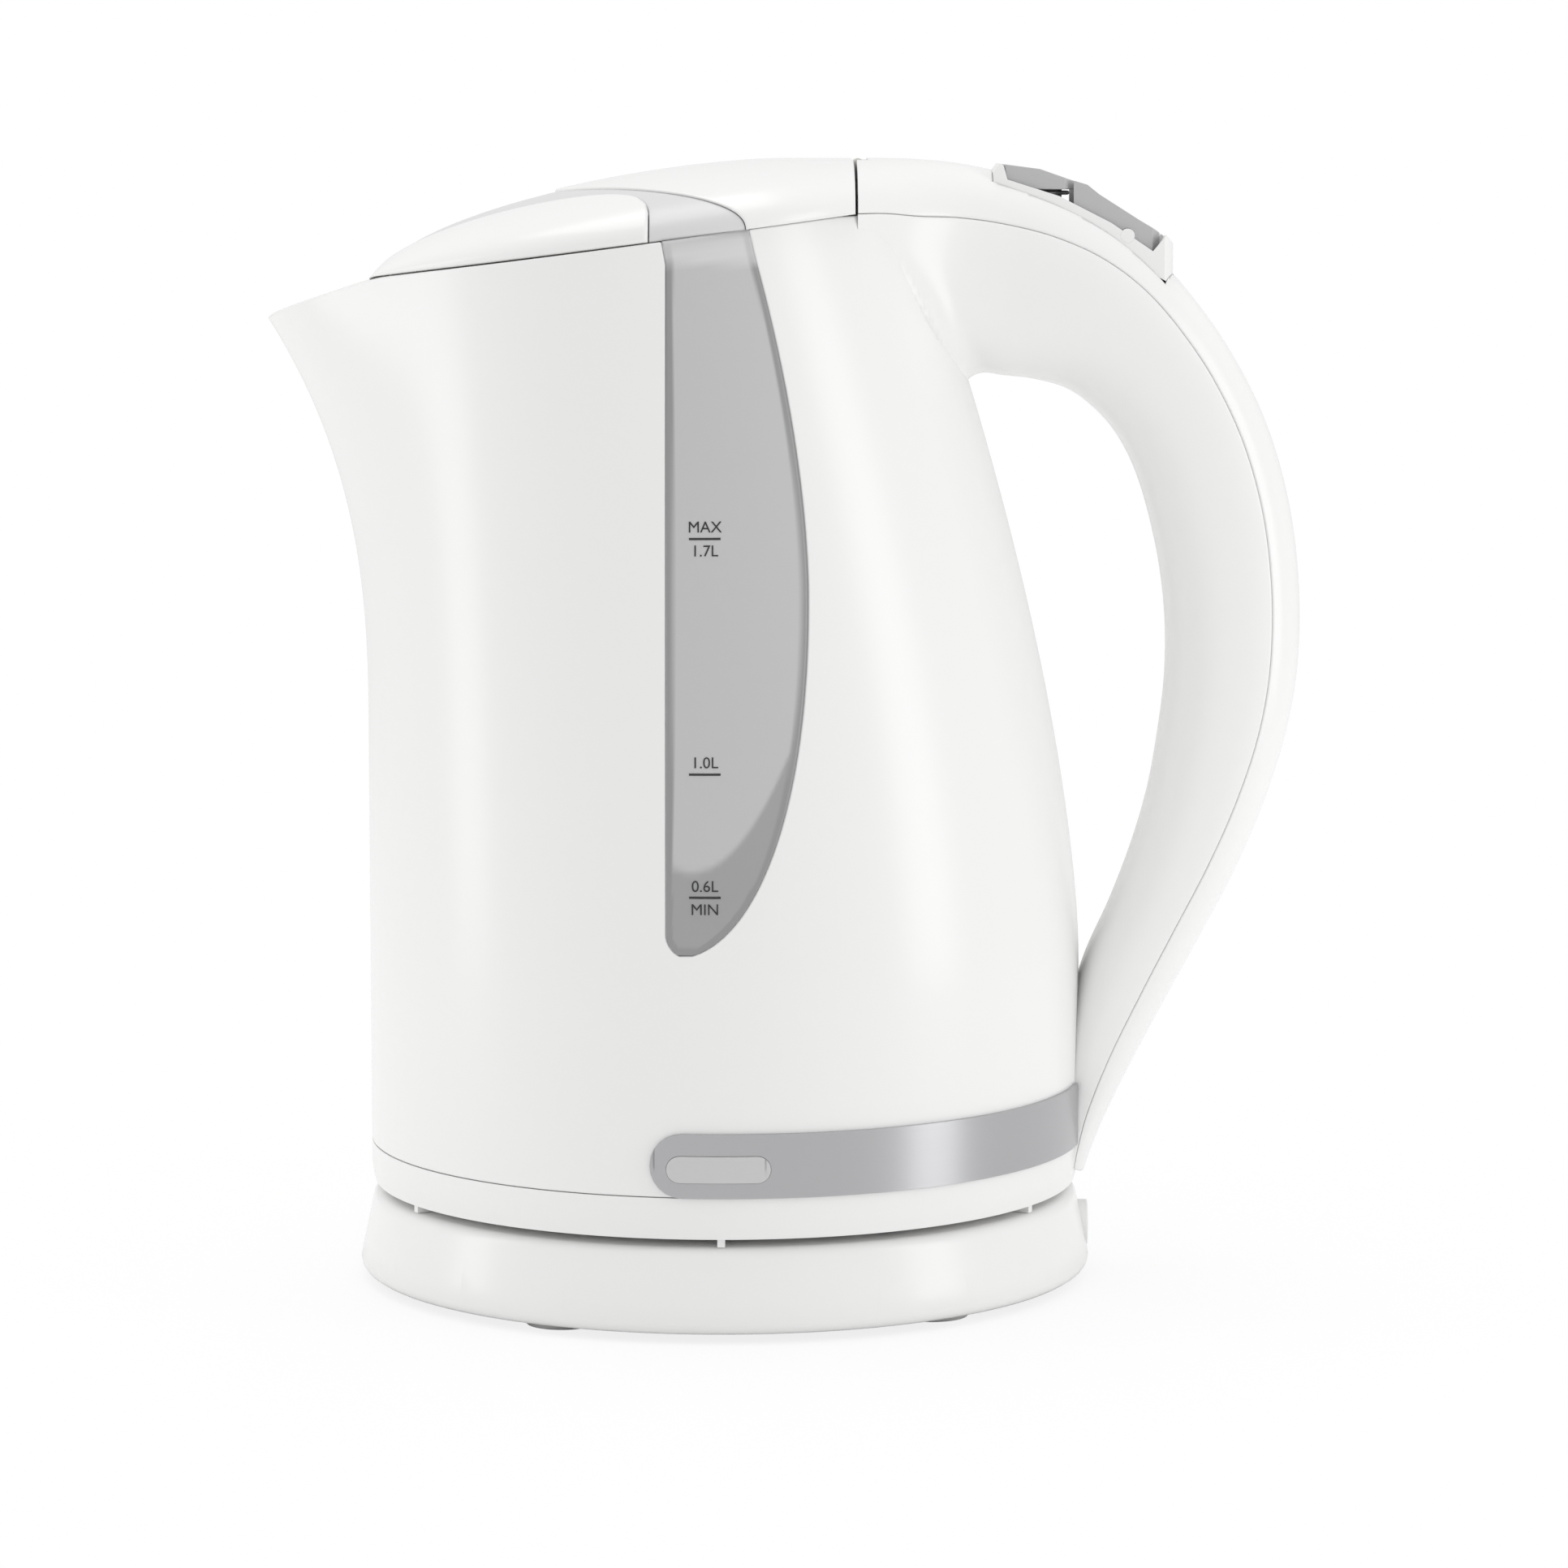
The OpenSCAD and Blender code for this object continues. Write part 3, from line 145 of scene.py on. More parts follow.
def softbox(name, position, aim, width, height, watts):
    """A rectangular area lamp at a position, facing the point aim."""
    data = bpy.data.lights.new(name, "AREA")
    data.shape = "RECTANGLE"
    data.size, data.size_y, data.energy = width, height, watts
    lamp = new_object(name, data)
    lamp.location = position
    lamp.rotation_euler = (Vector(position) - Vector(aim)).to_track_quat("Z", "Y").to_euler()


softbox("softbox_left", (-0.614, -0.086, 0.26), (0, 0, 0.26), 0.15, 0.5, 0.5)
softbox("softbox_right", (0.597, -0.258, 0.26), (0, 0, 0.26), 0.2, 0.5, 0.75)
softbox("softbox_top", (-0.1, 0.2, 1.5), (0, 0, 0.15), 1.0, 1.0, 6)


# ---- Power base: top and side shell ----
# One moulding in white polypropylene, with the connector hub raised in its middle. The underside
# is closed by a flat plate.
doubled_m = 2e-6
flat_deg = 0.3


def round_edges(piece, radius_mm, bend_deg):
    """Gives the edges that turn by more than bend_deg a small moulded radius."""
    bevel = piece.modifiers.new("moulded_radius", "BEVEL")
    bevel.width = radius_mm / 1000
    bevel.segments = 3
    bevel.limit_method = "ANGLE"
    bevel.angle_limit = radians(bend_deg)
    bevel.harden_normals = True


def moulded_copy(node, name, radius_mm, bend_deg=32):
    """The node's own solid with its doubled points merged and flat faces joined. Edges that turn by
    less than bend_deg are shaded round, the others get a small moulded radius."""
    source = bmesh.new()
    source.from_mesh(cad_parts[node].data)
    bmesh.ops.remove_doubles(source, verts=source.verts, dist=doubled_m)
    bmesh.ops.dissolve_limit(source, angle_limit=radians(flat_deg), verts=source.verts,
                             edges=source.edges)
    for edge in source.edges:
        edge.smooth = len(edge.link_faces) == 2 and edge.calc_face_angle(0) < radians(bend_deg)
    for face in source.faces:
        face.smooth = True
    mesh = bpy.data.meshes.new(name)
    source.to_mesh(mesh)
    source.free()
    piece = new_object(name, mesh)
    if radius_mm:
        round_edges(piece, radius_mm, bend_deg)
    return piece


def plastic(name, colour, roughness, ior, grain_mm=0.0, grain_depth_mm=0.0):
    """A moulded plastic: one colour, a gloss set by ior, and a faint bump of a given grain."""
    material, tree = new_material(name)
    surface = tree.nodes["Principled BSDF"]
    surface.inputs["Base Color"].default_value = linear(colour)
    surface.inputs["Roughness"].default_value = roughness
    surface.inputs["IOR"].default_value = ior
    if grain_mm:
        point = add(tree, "ShaderNodeTexCoord")
        grain = add(tree, "ShaderNodeTexNoise", {"Scale": 1000 / grain_mm, "Detail": 2.0},
                    {"Vector": point.outputs["Object"]})
        bump = add(tree, "ShaderNodeBump", {"Strength": 1.0, "Distance": grain_depth_mm / 1000},
                   {"Height": grain.outputs["Fac"]})
        tree.links.new(bump.outputs["Normal"], surface.inputs["Normal"])
    return material


def place(piece, body, slot, material, *nodes):
    """Gives the piece its material and its body, and hides the solids that it stands for. slot is
    not used.
    """
    piece.data.materials.clear()
    piece.data.materials.append(material)
    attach(piece, body)
    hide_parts(*nodes)


# Polypropylene, injection moulded in a polished tool: a soft sheen, with slow waves of shrinkage
# about 12 mm apart that only show in the reflections.
white_pp = plastic("gloss_moulded_polypropylene", "#F1F1F0", 0.24, 1.49, 12, 0.012)

base_shell = moulded_copy("base_cover", "base_shell", 0.25)
place(base_shell, "base", "white_plastic", white_pp, "base_cover")


# ---- Power base: plate, feet, screws, gland and connector ----
# Plain dark polypropylene underneath, pressed-in pale rubber feet, a white gland, zinc-plated
# screws, and brass contacts in a glass-filled core.
def dress(material, *nodes):
    """Gives these solids a better material where they stand."""
    for node in nodes:
        for material_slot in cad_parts[node].material_slots:
            material_slot.material = material


def metal(name, colour, roughness):
    """A bare metal of one colour."""
    material, tree = new_material(name)
    surface = tree.nodes["Principled BSDF"]
    surface.inputs["Base Color"].default_value = linear(colour)
    surface.inputs["Metallic"].default_value = 1.0
    surface.inputs["Roughness"].default_value = roughness
    return material


# Polypropylene from an etched tool: dark, even and nearly matt.
dark_pp = plastic("etched_dark_polypropylene", "#2A2A2C", 0.55, 1.49, 0.8, 0.02)
# Moulded thermoplastic rubber: very pale grey, matt, a little powdery.
pale_rubber = plastic("moulded_pale_rubber", "#DEDEDD", 0.7, 1.52, 1.0, 0.02)
# Zinc-plated steel: bright and slightly blue.
zinc = metal("zinc_plated_steel", "#C9CCD0", 0.3)
# Turned brass: warm and bright.
brass = metal("turned_brass", "#D9B25F", 0.25)
# Glass-filled polyester for live parts: pale and matt.
pale_polyester = plastic("glass_filled_polyester", "#E3E2DC", 0.5, 1.55, 0.6, 0.015)

feet = moulded_copy("base_feet", "rubber_feet", 0)
place(feet, "base", "rubber_grey", pale_rubber, "base_feet")
gland = moulded_copy("cord_gland", "cable_gland", 0.3)
place(gland, "base", "rubber_grey", white_pp, "cord_gland")
dress(dark_pp, "base_plate", "swivel_ring")
dress(zinc, "base_screws")
dress(brass, "socket_contacts")
dress(pale_polyester, "base_socket")


# ---- Jug: bottom ring and what is under the heating plate ----
# The bottom ring is moulded in the body's white and closes the jug from below. The stainless
# plate, its seal and the control under it are clamped inside and hardly seen.
ring_piece = moulded_copy("bottom_ring", "bottom_moulding", 0.2)
place(ring_piece, "jug", "white_plastic", white_pp, "bottom_ring")

# Stainless steel sheet, brushed: light grey with a soft shine.
stainless = metal("brushed_stainless_steel", "#D2D3D4", 0.32)
# Milky silicone rubber, moulded and matt.
silicone = plastic("moulded_silicone", "#DADAD6", 0.6, 1.43)
# Clear red polycarbonate of the neon's cap.
lamp_red = plastic("clear_red_polycarbonate", "#E8603C", 0.15, 1.58)
# Smooth red PVC on the wires.
wire_pvc = plastic("extruded_red_pvc", "#B42318", 0.4, 1.53)

dress(zinc, "bottom_screws", "heat_spreader", "clamp_ring", "handle_screw")
dress(dark_pp, "jug_connector", "steam_switch")
dress(brass, "connector_pin", "bimetal_discs", "steam_bimetal")
dress(pale_polyester, "control_unit")
dress(stainless, "heating_element", "heating_plate", "filter_mesh")
dress(silicone, "plate_seal")
dress(lamp_red, "pilot_lamp")
dress(wire_pvc, "switch_wires")


# ---- Jug: body ----
# The wall is one moulding, 2.5 mm thick. Its plan is round at the foot and turns into a shorter
# egg towards the rim; the front folds out to the spout, and a long window is cut in each side.
body_r = 76.5
wall = 2.5
jug_z, body_z, rim_z, crown_z = 21.3, 30.0, 225.2, 240.4
lean_from, spout_from, tip_z = 70.0, 120.0, 206.7
rear_lean, rear_power = 34.7, 1.56
side_lean, side_power = 16.4, 1.5
spout_reach, spout_power, fold_power = 21.0, 2.6, 9
rim_slope, lip_slope, lip_from = 0.13, 0.137, 72
near_rim_z = 219.2
lid_rear = 27.3
window_z, window_mid_z = 79.8, 152.0
window_front, window_w = 11.1, 28.9
corner_r, corner_rise = 5.0, 4.4
swell_h, swell_power = 73.0, 2.2
window_lean, window_lean_power = 12.5, 1.75
front_cols, window_cols, rear_cols = 110, 3, 90
low_rows, high_rows, row_power = 24, 110, 1.2
body_edge_r, body_bend_deg = 0.5, 50


def risen(z, low, high):
    """How far z has risen from low to high, 0 below low."""
    return np.maximum(0, z - low) / (high - low)


def rear_x(z):
    """The rear wall's x: the round radius, less the lean times the rise to the power 1.56."""
    return body_r - rear_lean * risen(z, lean_from, rim_z) ** rear_power


def side_y(z):
    """Half the width: the round radius, less the side's lean times the rise to the power 1.5."""
    return body_r - side_lean * risen(z, lean_from, rim_z) ** side_power


def ellipse_at(z):
    """Middle and half length of the plan ellipse, which runs from -body_r to the rear wall."""
    return (rear_x(z) - body_r) / 2, (rear_x(z) + body_r) / 2


def section(a, z, d):
    """Plan section at height z: an ellipse between front and rear, with a fold for the spout that
    grows as the rise to the power 2.6 and narrows as the ninth power of the cosine."""
    middle, long_half = ellipse_at(z)
    height_share = risen(z, spout_from, tip_z) ** spout_power
    fold = spout_reach * height_share * np.maximum(0, -np.cos(a)) ** fold_power
    return middle + (long_half - d) * np.cos(a) - fold, (side_y(z) - d) * np.sin(a)


def rim_at(x):
    """Height of the rim: a straight slope up to the rear, steeper along the spout's lip."""
    return rim_z + rim_slope * np.minimum(x, lid_rear) - lip_slope * np.maximum(0, -lip_from - x)


def window_left(z):
    """The window's front edge: straight, with a quarter round at its lower end."""
    sunk = np.clip((window_z + corner_rise - z) / corner_r, 0, 1)
    return -window_front + corner_r * (1 - np.sqrt(1 - sunk ** 2))


def window_right(z):
    """The window's rear edge: a superellipse that swells upwards, then a slow lean to the rim."""
    below = np.clip((window_mid_z - z) / swell_h, 0, 1)
    low = -window_front + window_w * (1 - below ** swell_power) ** (1 / swell_power)
    leant = window_lean * risen(z, window_mid_z, rim_z + 1) ** window_lean_power
    return np.where(z < window_mid_z, low, -window_front + window_w - leant)


def angle_at(x, z):
    """The plan angle of the side point at x, from the ellipse alone."""
    middle, long_half = ellipse_at(z)
    return np.arccos(np.clip((x - middle) / long_half, -1, 1))


def column_angle(kind, step, z):
    """Angle of a column: step runs 0 to 1 over the front (kind 0), the +Y window (1), the rear (2)
    or the -Y window (3), whose limits follow the windows' edges at height z."""
    left, right, turn = angle_at(window_left(z), z), angle_at(window_right(z), z), 2 * np.pi
    return np.select([kind == 0, kind == 1, kind == 2, kind == 3], [
        -left - (turn - 2 * left) * step, left - turn - (left - right) * step,
        right - turn - 2 * right * step, -turn - right - (left - right) * step])


def upright_grid(kind, step, rows_low, rows_high, gap=0.0):
    """Points up the wall: rows_low even rows below the windows, then rows_high to the rim, closer
    together at the window's lower end. Each row is one turn over the columns."""
    top_x = section(column_angle(kind, step, near_rim_z), near_rim_z, 0)[0]
    below = np.linspace(body_z, window_z, rows_low + 1)[:-1, None] + 0 * step
    above = window_z + gap + (rim_at(top_x) - gap - window_z) * (
        np.linspace(0, 1, rows_high + 1)[:, None] ** row_power)
    z = np.concatenate([below, above]) if rows_low else above
    return column_angle(kind, step, np.clip(z, window_z, near_rim_z)), z


def sheet(name, points, round_about=False, keep=None):
    """A mesh of the surface whose points in mm are given row by row: one quad for each cell."""
    rows, cols = points.shape[:2]
    j, i = np.meshgrid(np.arange(rows - 1), np.arange(cols if round_about else cols - 1),
                       indexing="ij")
    after = (i + 1) % cols
    row, row_above = j * cols, (j + 1) * cols
    quads = np.stack([row + i, row + after, row_above + after, row_above + i], -1)
    quads = quads[keep] if keep is not None else quads.reshape(-1, 4)
    return piece_from(name, points.reshape(-1, 3), quads)


def piece_from(name, points, quads):
    """An object from points in mm and quads, shaded round, its faces turned outwards and no loose
    points left."""
    mesh = bpy.data.meshes.new(name)
    mesh.from_pydata((points / 1000).tolist(), [], quads.tolist())
    cleaned = bmesh.new()
    cleaned.from_mesh(mesh)
    bmesh.ops.delete(cleaned, geom=[v for v in cleaned.verts if not v.link_faces], context="VERTS")
    bmesh.ops.recalc_face_normals(cleaned, faces=cleaned.faces)
    cleaned.to_mesh(mesh)
    cleaned.free()
    mesh.shade_smooth()
    return new_object(name, mesh)


def give_wall(piece, thickness_mm):
    """Thickens a surface inwards into a wall."""
    inwards = piece.modifiers.new("wall", "SOLIDIFY")
    inwards.thickness = thickness_mm / 1000
    inwards.offset = -1


columns = [front_cols, window_cols, rear_cols, window_cols]
kinds = np.repeat([0, 1, 2, 3], columns)
steps = np.concatenate([np.arange(count) / count for count in columns])
angles, heights = upright_grid(kinds, steps, low_rows, high_rows)
across, depth = section(angles, heights, 0)
row_number = np.arange(low_rows + high_rows)[:, None]
solid_cells = ~((kinds % 2 == 1)[None, :] & (row_number >= low_rows))
body = sheet("jug_body", np.stack([across, depth, heights], -1), True, solid_cells)
give_wall(body, wall)
round_edges(body, body_edge_r, body_bend_deg)
place(body, "jug", "white_plastic", white_pp, "jug_shell")


# ---- Water windows ----
# Frosted panes, moulded into the wall. The flange round each pane shows darker. Painted shade
# darkens its foot, for the shade inside the jug seen through the pane, and painted light makes its
# top edge lighter in front of the lid.
pane_t, pane_gap, pane_cols = 2.2, 0.1, 40
pane_shade, foot_shade, shade_fade = 0.33, 0.83, 1.5
foot_z, foot_bend, foot_x = 97.5, 0.06, -6
top_z, top_lightening = 218.5, 0.7
flange_w, flange_fade = 1.3, 0.5
sides = ((-1, "left"), (1, "right"))
batch = 60


def edge_distance(points, edge):
    """Distance in mm from each point to the nearest of the edge's points, one batch of the edge at
    a time to save memory."""
    flat = points.reshape(-1, 3)
    nearest = np.full(len(flat), 1e9)
    for first in range(0, len(edge), batch):
        part = edge[first:first + batch]
        away = np.linalg.norm(flat[:, None] - part[None], axis=-1).min(1)
        nearest = np.minimum(nearest, away)
    return nearest.reshape(points.shape[:2])


def outline(points):
    """The points round the edge of a grid."""
    return np.concatenate([points[0], points[-1], points[:, 0], points[:, -1]])


# Polycarbonate, smoked and finely frosted inside: grey, half clear, with a smooth outer face. The
# shade runs from 0, light, to 1, the dark of the flange; it also carries the panes' painted shade
# and painted light.
smoked, tree = new_material("smoked_frosted_polycarbonate")
surface = tree.nodes["Principled BSDF"]
surface.inputs["Roughness"].default_value = 0.3
surface.inputs["IOR"].default_value = 1.58
surface.inputs["Transmission Weight"].default_value = 0.25
shade_read = add(tree, "ShaderNodeAttribute", attribute_name="shade")
tone = add(tree, "ShaderNodeMix", data_type="RGBA", links={"Factor": shade_read.outputs["Fac"]})
tone.inputs[6].default_value = linear("#EDEDED")
tone.inputs[7].default_value = linear("#A6A6A6")
tree.links.new(tone.outputs[2], surface.inputs["Base Color"])

for side, name in sides:
    step = np.linspace(0, 1, pane_cols + 1)
    window_kind = np.ones(pane_cols + 1, int)
    angles, heights = upright_grid(window_kind, step, 0, high_rows, pane_gap)
    x, y = section(angles, heights, 0)
    points = np.stack([x, side * np.abs(y), heights], -1)
    pane = sheet("water_window_" + name, points)
    # Painted shade at the foot, for the shade inside the jug seen through the pane; its upper edge
    # is a parabola in x.
    foot = np.clip((foot_z + foot_bend * (x - foot_x) ** 2 - heights) / shade_fade, 0, 1)
    # Painted light: the pane and its flange are made lighter along the top edge, in front of the
    # lid.
    top = np.clip((heights - top_z) / shade_fade, 0, 1)
    from_edge = edge_distance(points, outline(points))
    flange = 1 - np.clip((from_edge - flange_w) / flange_fade, 0, 1)
    shade = pane_shade + (foot_shade - pane_shade) * foot - pane_shade * top
    shade = np.maximum(shade, flange * (1 - top_lightening * top))
    marked = pane.data.attributes.new("shade", "FLOAT", "POINT")
    marked.data.foreach_set("value", shade.ravel().astype(np.float32))
    give_wall(pane, pane_t)
    place(pane, "jug", "window_plastic", smoked, "water_window_" + name)


# ---- Water scale on both windows ----
# Screen-printed black marks and numbers: MAX over 1.7L, then 1.0L, 0.6L and MIN, each with a bar.
mark_x = -3.2
bar_w, bar_h, bar_points = 6.4, 0.45, 9
letter_h, capital_share = 2.25, 0.7
print_lift = 0.1

# Screen-printing ink: black, matt.
ink = plastic("screen_printed_black_ink", "#2B2B2D", 0.5, 1.5)


def on_wall(across_mm, up_mm, side, lift):
    """Points on the body's side at x and height, pushed out by lift: y is the ellipse's half width
    there, and the far side is read from the other way round."""
    x = mark_x + (across_mm if side < 0 else -across_mm)
    middle, long_half = ellipse_at(up_mm)
    y = side_y(up_mm) * np.sqrt(1 - ((x - middle) / long_half) ** 2) + lift
    return np.stack([x, side * y, up_mm], -1)


def printed_word(word):
    """Flat outline of a word as points in mm and faces, centred on x, with its base line at y = 0.
    The font's capitals take capital_share of its size."""
    curve = bpy.data.curves.new("word", "FONT")
    curve.body = word
    curve.size = letter_h / capital_share
    curve.align_x = "CENTER"
    holder = new_object("word", curve)
    bpy.context.view_layer.update()
    flat = bpy.data.meshes.new_from_object(holder.evaluated_get(
        bpy.context.evaluated_depsgraph_get()))
    corners = np.zeros(len(flat.vertices) * 3)
    flat.vertices.foreach_get("co", corners)
    faces = [tuple(face.vertices) for face in flat.polygons]
    bpy.data.objects.remove(holder)
    return corners.reshape(-1, 3), faces


# Each mark's word and height; a mark without a word is a bar.
scale_marks = [("MAX", 165.3), ("", 164.0), ("1.7L", 160.5), ("1.0L", 117.9), ("", 116.6),
               ("0.6L", 92.9), ("", 91.7), ("MIN", 88.2)]
for side, name in sides:
    all_points, all_faces = [], []
    for word, level in scale_marks:
        if word:
            flat, faces = printed_word(word)
            points = on_wall(flat[:, 0], level + flat[:, 1], side, print_lift)
        else:
            u, v = np.meshgrid(np.linspace(-0.5, 0.5, bar_points) * bar_w,
                               np.array([-0.5, 0.5]) * bar_h)
            points = on_wall(u.ravel(), level + v.ravel(), side, print_lift)
            faces = [(i, i + 1, i + 1 + bar_points, i + bar_points) for i in range(bar_points - 1)]
        count = sum(len(part) for part in all_points)
        all_points.append(points)
        all_faces += [tuple(int(i) + count for i in face) for face in faces]
    mesh = bpy.data.meshes.new("scale")
    mesh.from_pydata((np.concatenate(all_points) / 1000).tolist(), [], all_faces)
    scale = new_object("water_scale_" + name, mesh)
    place(scale, "jug", "button_plastic", ink)


# ---- Trim bands and pilot light ----
# A stainless strip is bent round the foot of the jug on each side and bonded on. The left strip
# has a round-ended slot, in which the frosted lens of the pilot light sits.
strokes_per_m_along = 6.0


def brushed(name, colour, roughness, stroke_mm, depth_mm):
    """Brushed metal: the bump is noise stretched along the brushing, which runs round the jug, so
    it changes quickly only with height. The shine spreads across the brushing."""
    material = metal(name, colour, roughness)
    tree = material.node_tree
    surface = tree.nodes["Principled BSDF"]
    surface.inputs["Anisotropic"].default_value = 0.85
    surface.inputs["Anisotropic Rotation"].default_value = 0.25
    along = add(tree, "ShaderNodeTangent", direction_type="RADIAL", axis="Z")
    tree.links.new(along.outputs["Tangent"], surface.inputs["Tangent"])
    point = add(tree, "ShaderNodeTexCoord")
    stretch = (strokes_per_m_along, strokes_per_m_along, 1000 / stroke_mm)
    stretched = add(tree, "ShaderNodeMapping", {"Scale": stretch},
                    {"Vector": point.outputs["Object"]})
    strokes = add(tree, "ShaderNodeTexNoise", {"Scale": 1.0, "Detail": 3.0},
                  {"Vector": stretched.outputs["Vector"]})
    bump = add(tree, "ShaderNodeBump", {"Strength": 0.6, "Distance": depth_mm / 1000},
               {"Height": strokes.outputs["Fac"]})
    tree.links.new(bump.outputs["Normal"], surface.inputs["Normal"])
    return material


# Stainless strip, brushed along its length: strokes about 0.2 mm apart, drawn at 0.5 mm so that
# they still show.
strip_metal = brushed("brushed_stainless_strip", "#BCBCBE", 0.38, 0.5, 0.02)
# Frosted clear polycarbonate over the lamp: pale grey when the light is off.
frosted = plastic("frosted_polycarbonate_lens", "#C8C8C8", 0.35, 1.58)

for _, name in sides:
    strip = moulded_copy("trim_band_" + name, "trim_strip_" + name, 0.25)
    place(strip, "jug", "trim_metal", strip_metal, "trim_band_" + name)
lens = moulded_copy("pilot_lens", "pilot_light_lens", 0.3)
place(lens, "jug", "lens_plastic", frosted, "pilot_lens")


# ---- Handle: grip and cover ----
# The hollow handle is moulded in two halves that meet in a fine seam on each side. The inner half
# blends into the body at the neck; the outer half carries the switches and is screwed at the foot.
stations = np.array([
    # outer x from the body's side, outer height, inner x, inner height, half width, seam depth
    [-48.5, 1.000, -48.5, 0.880, 38.3, 11.3], [-42.5, 1.000, -42.5, 0.857, 31, 11.3],
    [-35.5, 0.999, -35.5, 0.832, 25, 11.7], [-26.5, 0.995, -27.5, 0.803, 20.3, 11.2],
    [-16.5, 0.985, -19, 0.791, 17.8, 10.4], [-5.5, 0.968, -10.5, 0.786, 16.8, 9.4],
    [5.5, 0.942, -3, 0.776, 16.2, 8.4], [15.5, 0.906, 3, 0.756, 15.6, 7.6],
    [24.5, 0.860, 7.8, 0.730, 15.2, 7.2], [32.5, 0.807, 11.7, 0.695, 15, 7],
    [39.5, 0.743, 14.7, 0.651, 15, 7], [44.3, 0.670, 17.1, 0.599, 15, 7],
    [46.7, 0.592, 18.3, 0.546, 15, 7], [46.8, 0.514, 18.2, 0.492, 15, 7],
    [44.5, 0.444, 16.8, 0.437, 15, 7], [39.8, 0.373, 14.8, 0.384, 15, 7],
    [33.5, 0.304, 11.5, 0.330, 14.9, 7], [25.8, 0.236, 6.8, 0.272, 14.7, 6.8],
    [17.8, 0.168, 1.3, 0.215, 14.5, 6.4], [10.5, 0.104, -2.5, 0.154, 14.3, 6],
    [4.8, 0.049, -4.5, 0.088, 14, 5], [1.4, 0.008, -6, 0.024, 13.8, 3]])
stations[:, [0, 2]] += body_r
stations[:, [1, 3]] = jug_z + stations[:, [1, 3]] * (crown_z - jug_z)
last_station = len(stations) - 1
round_power = 2.6
grip_wall = 2.2
grip_start, cover_start = 0.02, 0.03
seam_half, seam_round = 0.005, 0.35
neck_r = 5.5
neck_low_z, neck_low_fade = 150, 20
neck_top_z, neck_top_fade = rim_z - 2, 16
wall_top = rim_z + 2
section_top = rim_z + 3.0
wall_depth, inner_depth = 1.1, 1.6


def along_handle(t):
    """Catmull-Rom curve through the stations at t: each of the six columns runs smoothly."""
    i = np.minimum(np.floor(t).astype(int), last_station - 1)
    u = (t - i)[..., None]
    a, b, c, d = [stations[np.clip(i + k, 0, last_station)] for k in (-1, 0, 1, 2)]
    return (2 * b + (c - a) * u + (2 * a - 5 * b + 4 * c - d) * u ** 2
            + (3 * b - a - 3 * c + d) * u ** 3) / 2


def powered(value, power):
    """The value's sign times its size to a power."""
    return np.sign(value) * np.abs(value) ** power


def handle_point(t, a, d):
    """The handle's section at t is a superellipse of power 2.6 between the outer and the inner
    point, shrunk by d; a is 0 at the outer point and pi at the inner one."""
    s = along_handle(t)
    reach_x, reach_z = s[..., 0] - s[..., 2], s[..., 1] - s[..., 3]
    half_reach = np.hypot(reach_x, reach_z) / 2
    u = (half_reach - d) * powered(np.cos(a), 2 / round_power) / (2 * half_reach)
    return np.stack([(s[..., 0] + s[..., 2]) / 2 + reach_x * u,
                     (s[..., 4] - d) * powered(np.sin(a), 2 / round_power),
                     (s[..., 1] + s[..., 3]) / 2 + reach_z * u], -1)


def seam_angle(t):
    """The section angle at which the seam lies its depth below the outer point."""
    s = along_handle(t)
    half_reach = np.hypot(s[..., 0] - s[..., 2], s[..., 1] - s[..., 3]) / 2
    return np.arccos(powered((half_reach - s[..., 5]) / half_reach, round_power / 2))


def beside_body(points, depth):
    """Distance of points from the surface that lies depth inside the body, by how far the
    ellipse's radius through the point is over 1; with that radius and the ellipse's middle."""
    x, y, z = points[..., 0], points[..., 1], np.minimum(points[..., 2], section_top)
    middle, long_half = ellipse_at(z)
    share = np.hypot((x - middle) / (long_half - depth), y / (side_y(z) - depth))
    return (share - 1) * np.hypot(x - middle, y) / np.maximum(share, 1e-6), share, middle


def blended(t, a, d, into):
    """Handle points with the neck's fillet: near the body the section grows by
    r - sqrt(r^2 - (r - s)^2) at distance s. Points inside the body are moved out to the depth
    into below its surface, which hides them in the wall."""
    points = handle_point(t, a, d)
    s, _, _ = beside_body(points, 0)
    near = np.clip(neck_r - np.maximum(s, 0), 0, neck_r)
    z = points[..., 2]
    fade = (np.clip((neck_top_z - z) / neck_top_fade, 0, 1)
            * np.clip((z - neck_low_z) / neck_low_fade, 0, 1))
    fade = fade * fade * (3 - 2 * fade)
    grow = (neck_r - np.sqrt(neck_r ** 2 - near ** 2)) * fade
    points = handle_point(t, a, d - grow)
    _, share, middle = beside_body(points, into)
    inside = (share < 1) & (z < wall_top)
    factor = np.where(inside, np.maximum(share, 0.02), 1)
    points[..., 0] = middle + (points[..., 0] - middle) / factor
    points[..., 1] = points[..., 1] / factor
    return points


def plate(name, outer, inner):
    """A closed plate between two grids of the same size: both faces and the four narrow sides."""
    rows, cols = outer.shape[:2]
    index = np.arange(rows * cols).reshape(rows, cols)
    rim = np.concatenate([index[0], index[1:, -1], index[-1, -2::-1], index[-2:0:-1, 0]])
    after = np.roll(rim, -1)
    cells = np.stack([index[:-1, :-1], index[:-1, 1:], index[1:, 1:], index[1:, :-1]],
                     -1).reshape(-1, 4)
    shift = rows * cols
    quads = np.concatenate([cells, cells[:, ::-1] + shift,
                            np.stack([after, rim, rim + shift, after + shift], -1)])
    return piece_from(name, np.concatenate([outer.reshape(-1, 3), inner.reshape(-1, 3)]), quads)


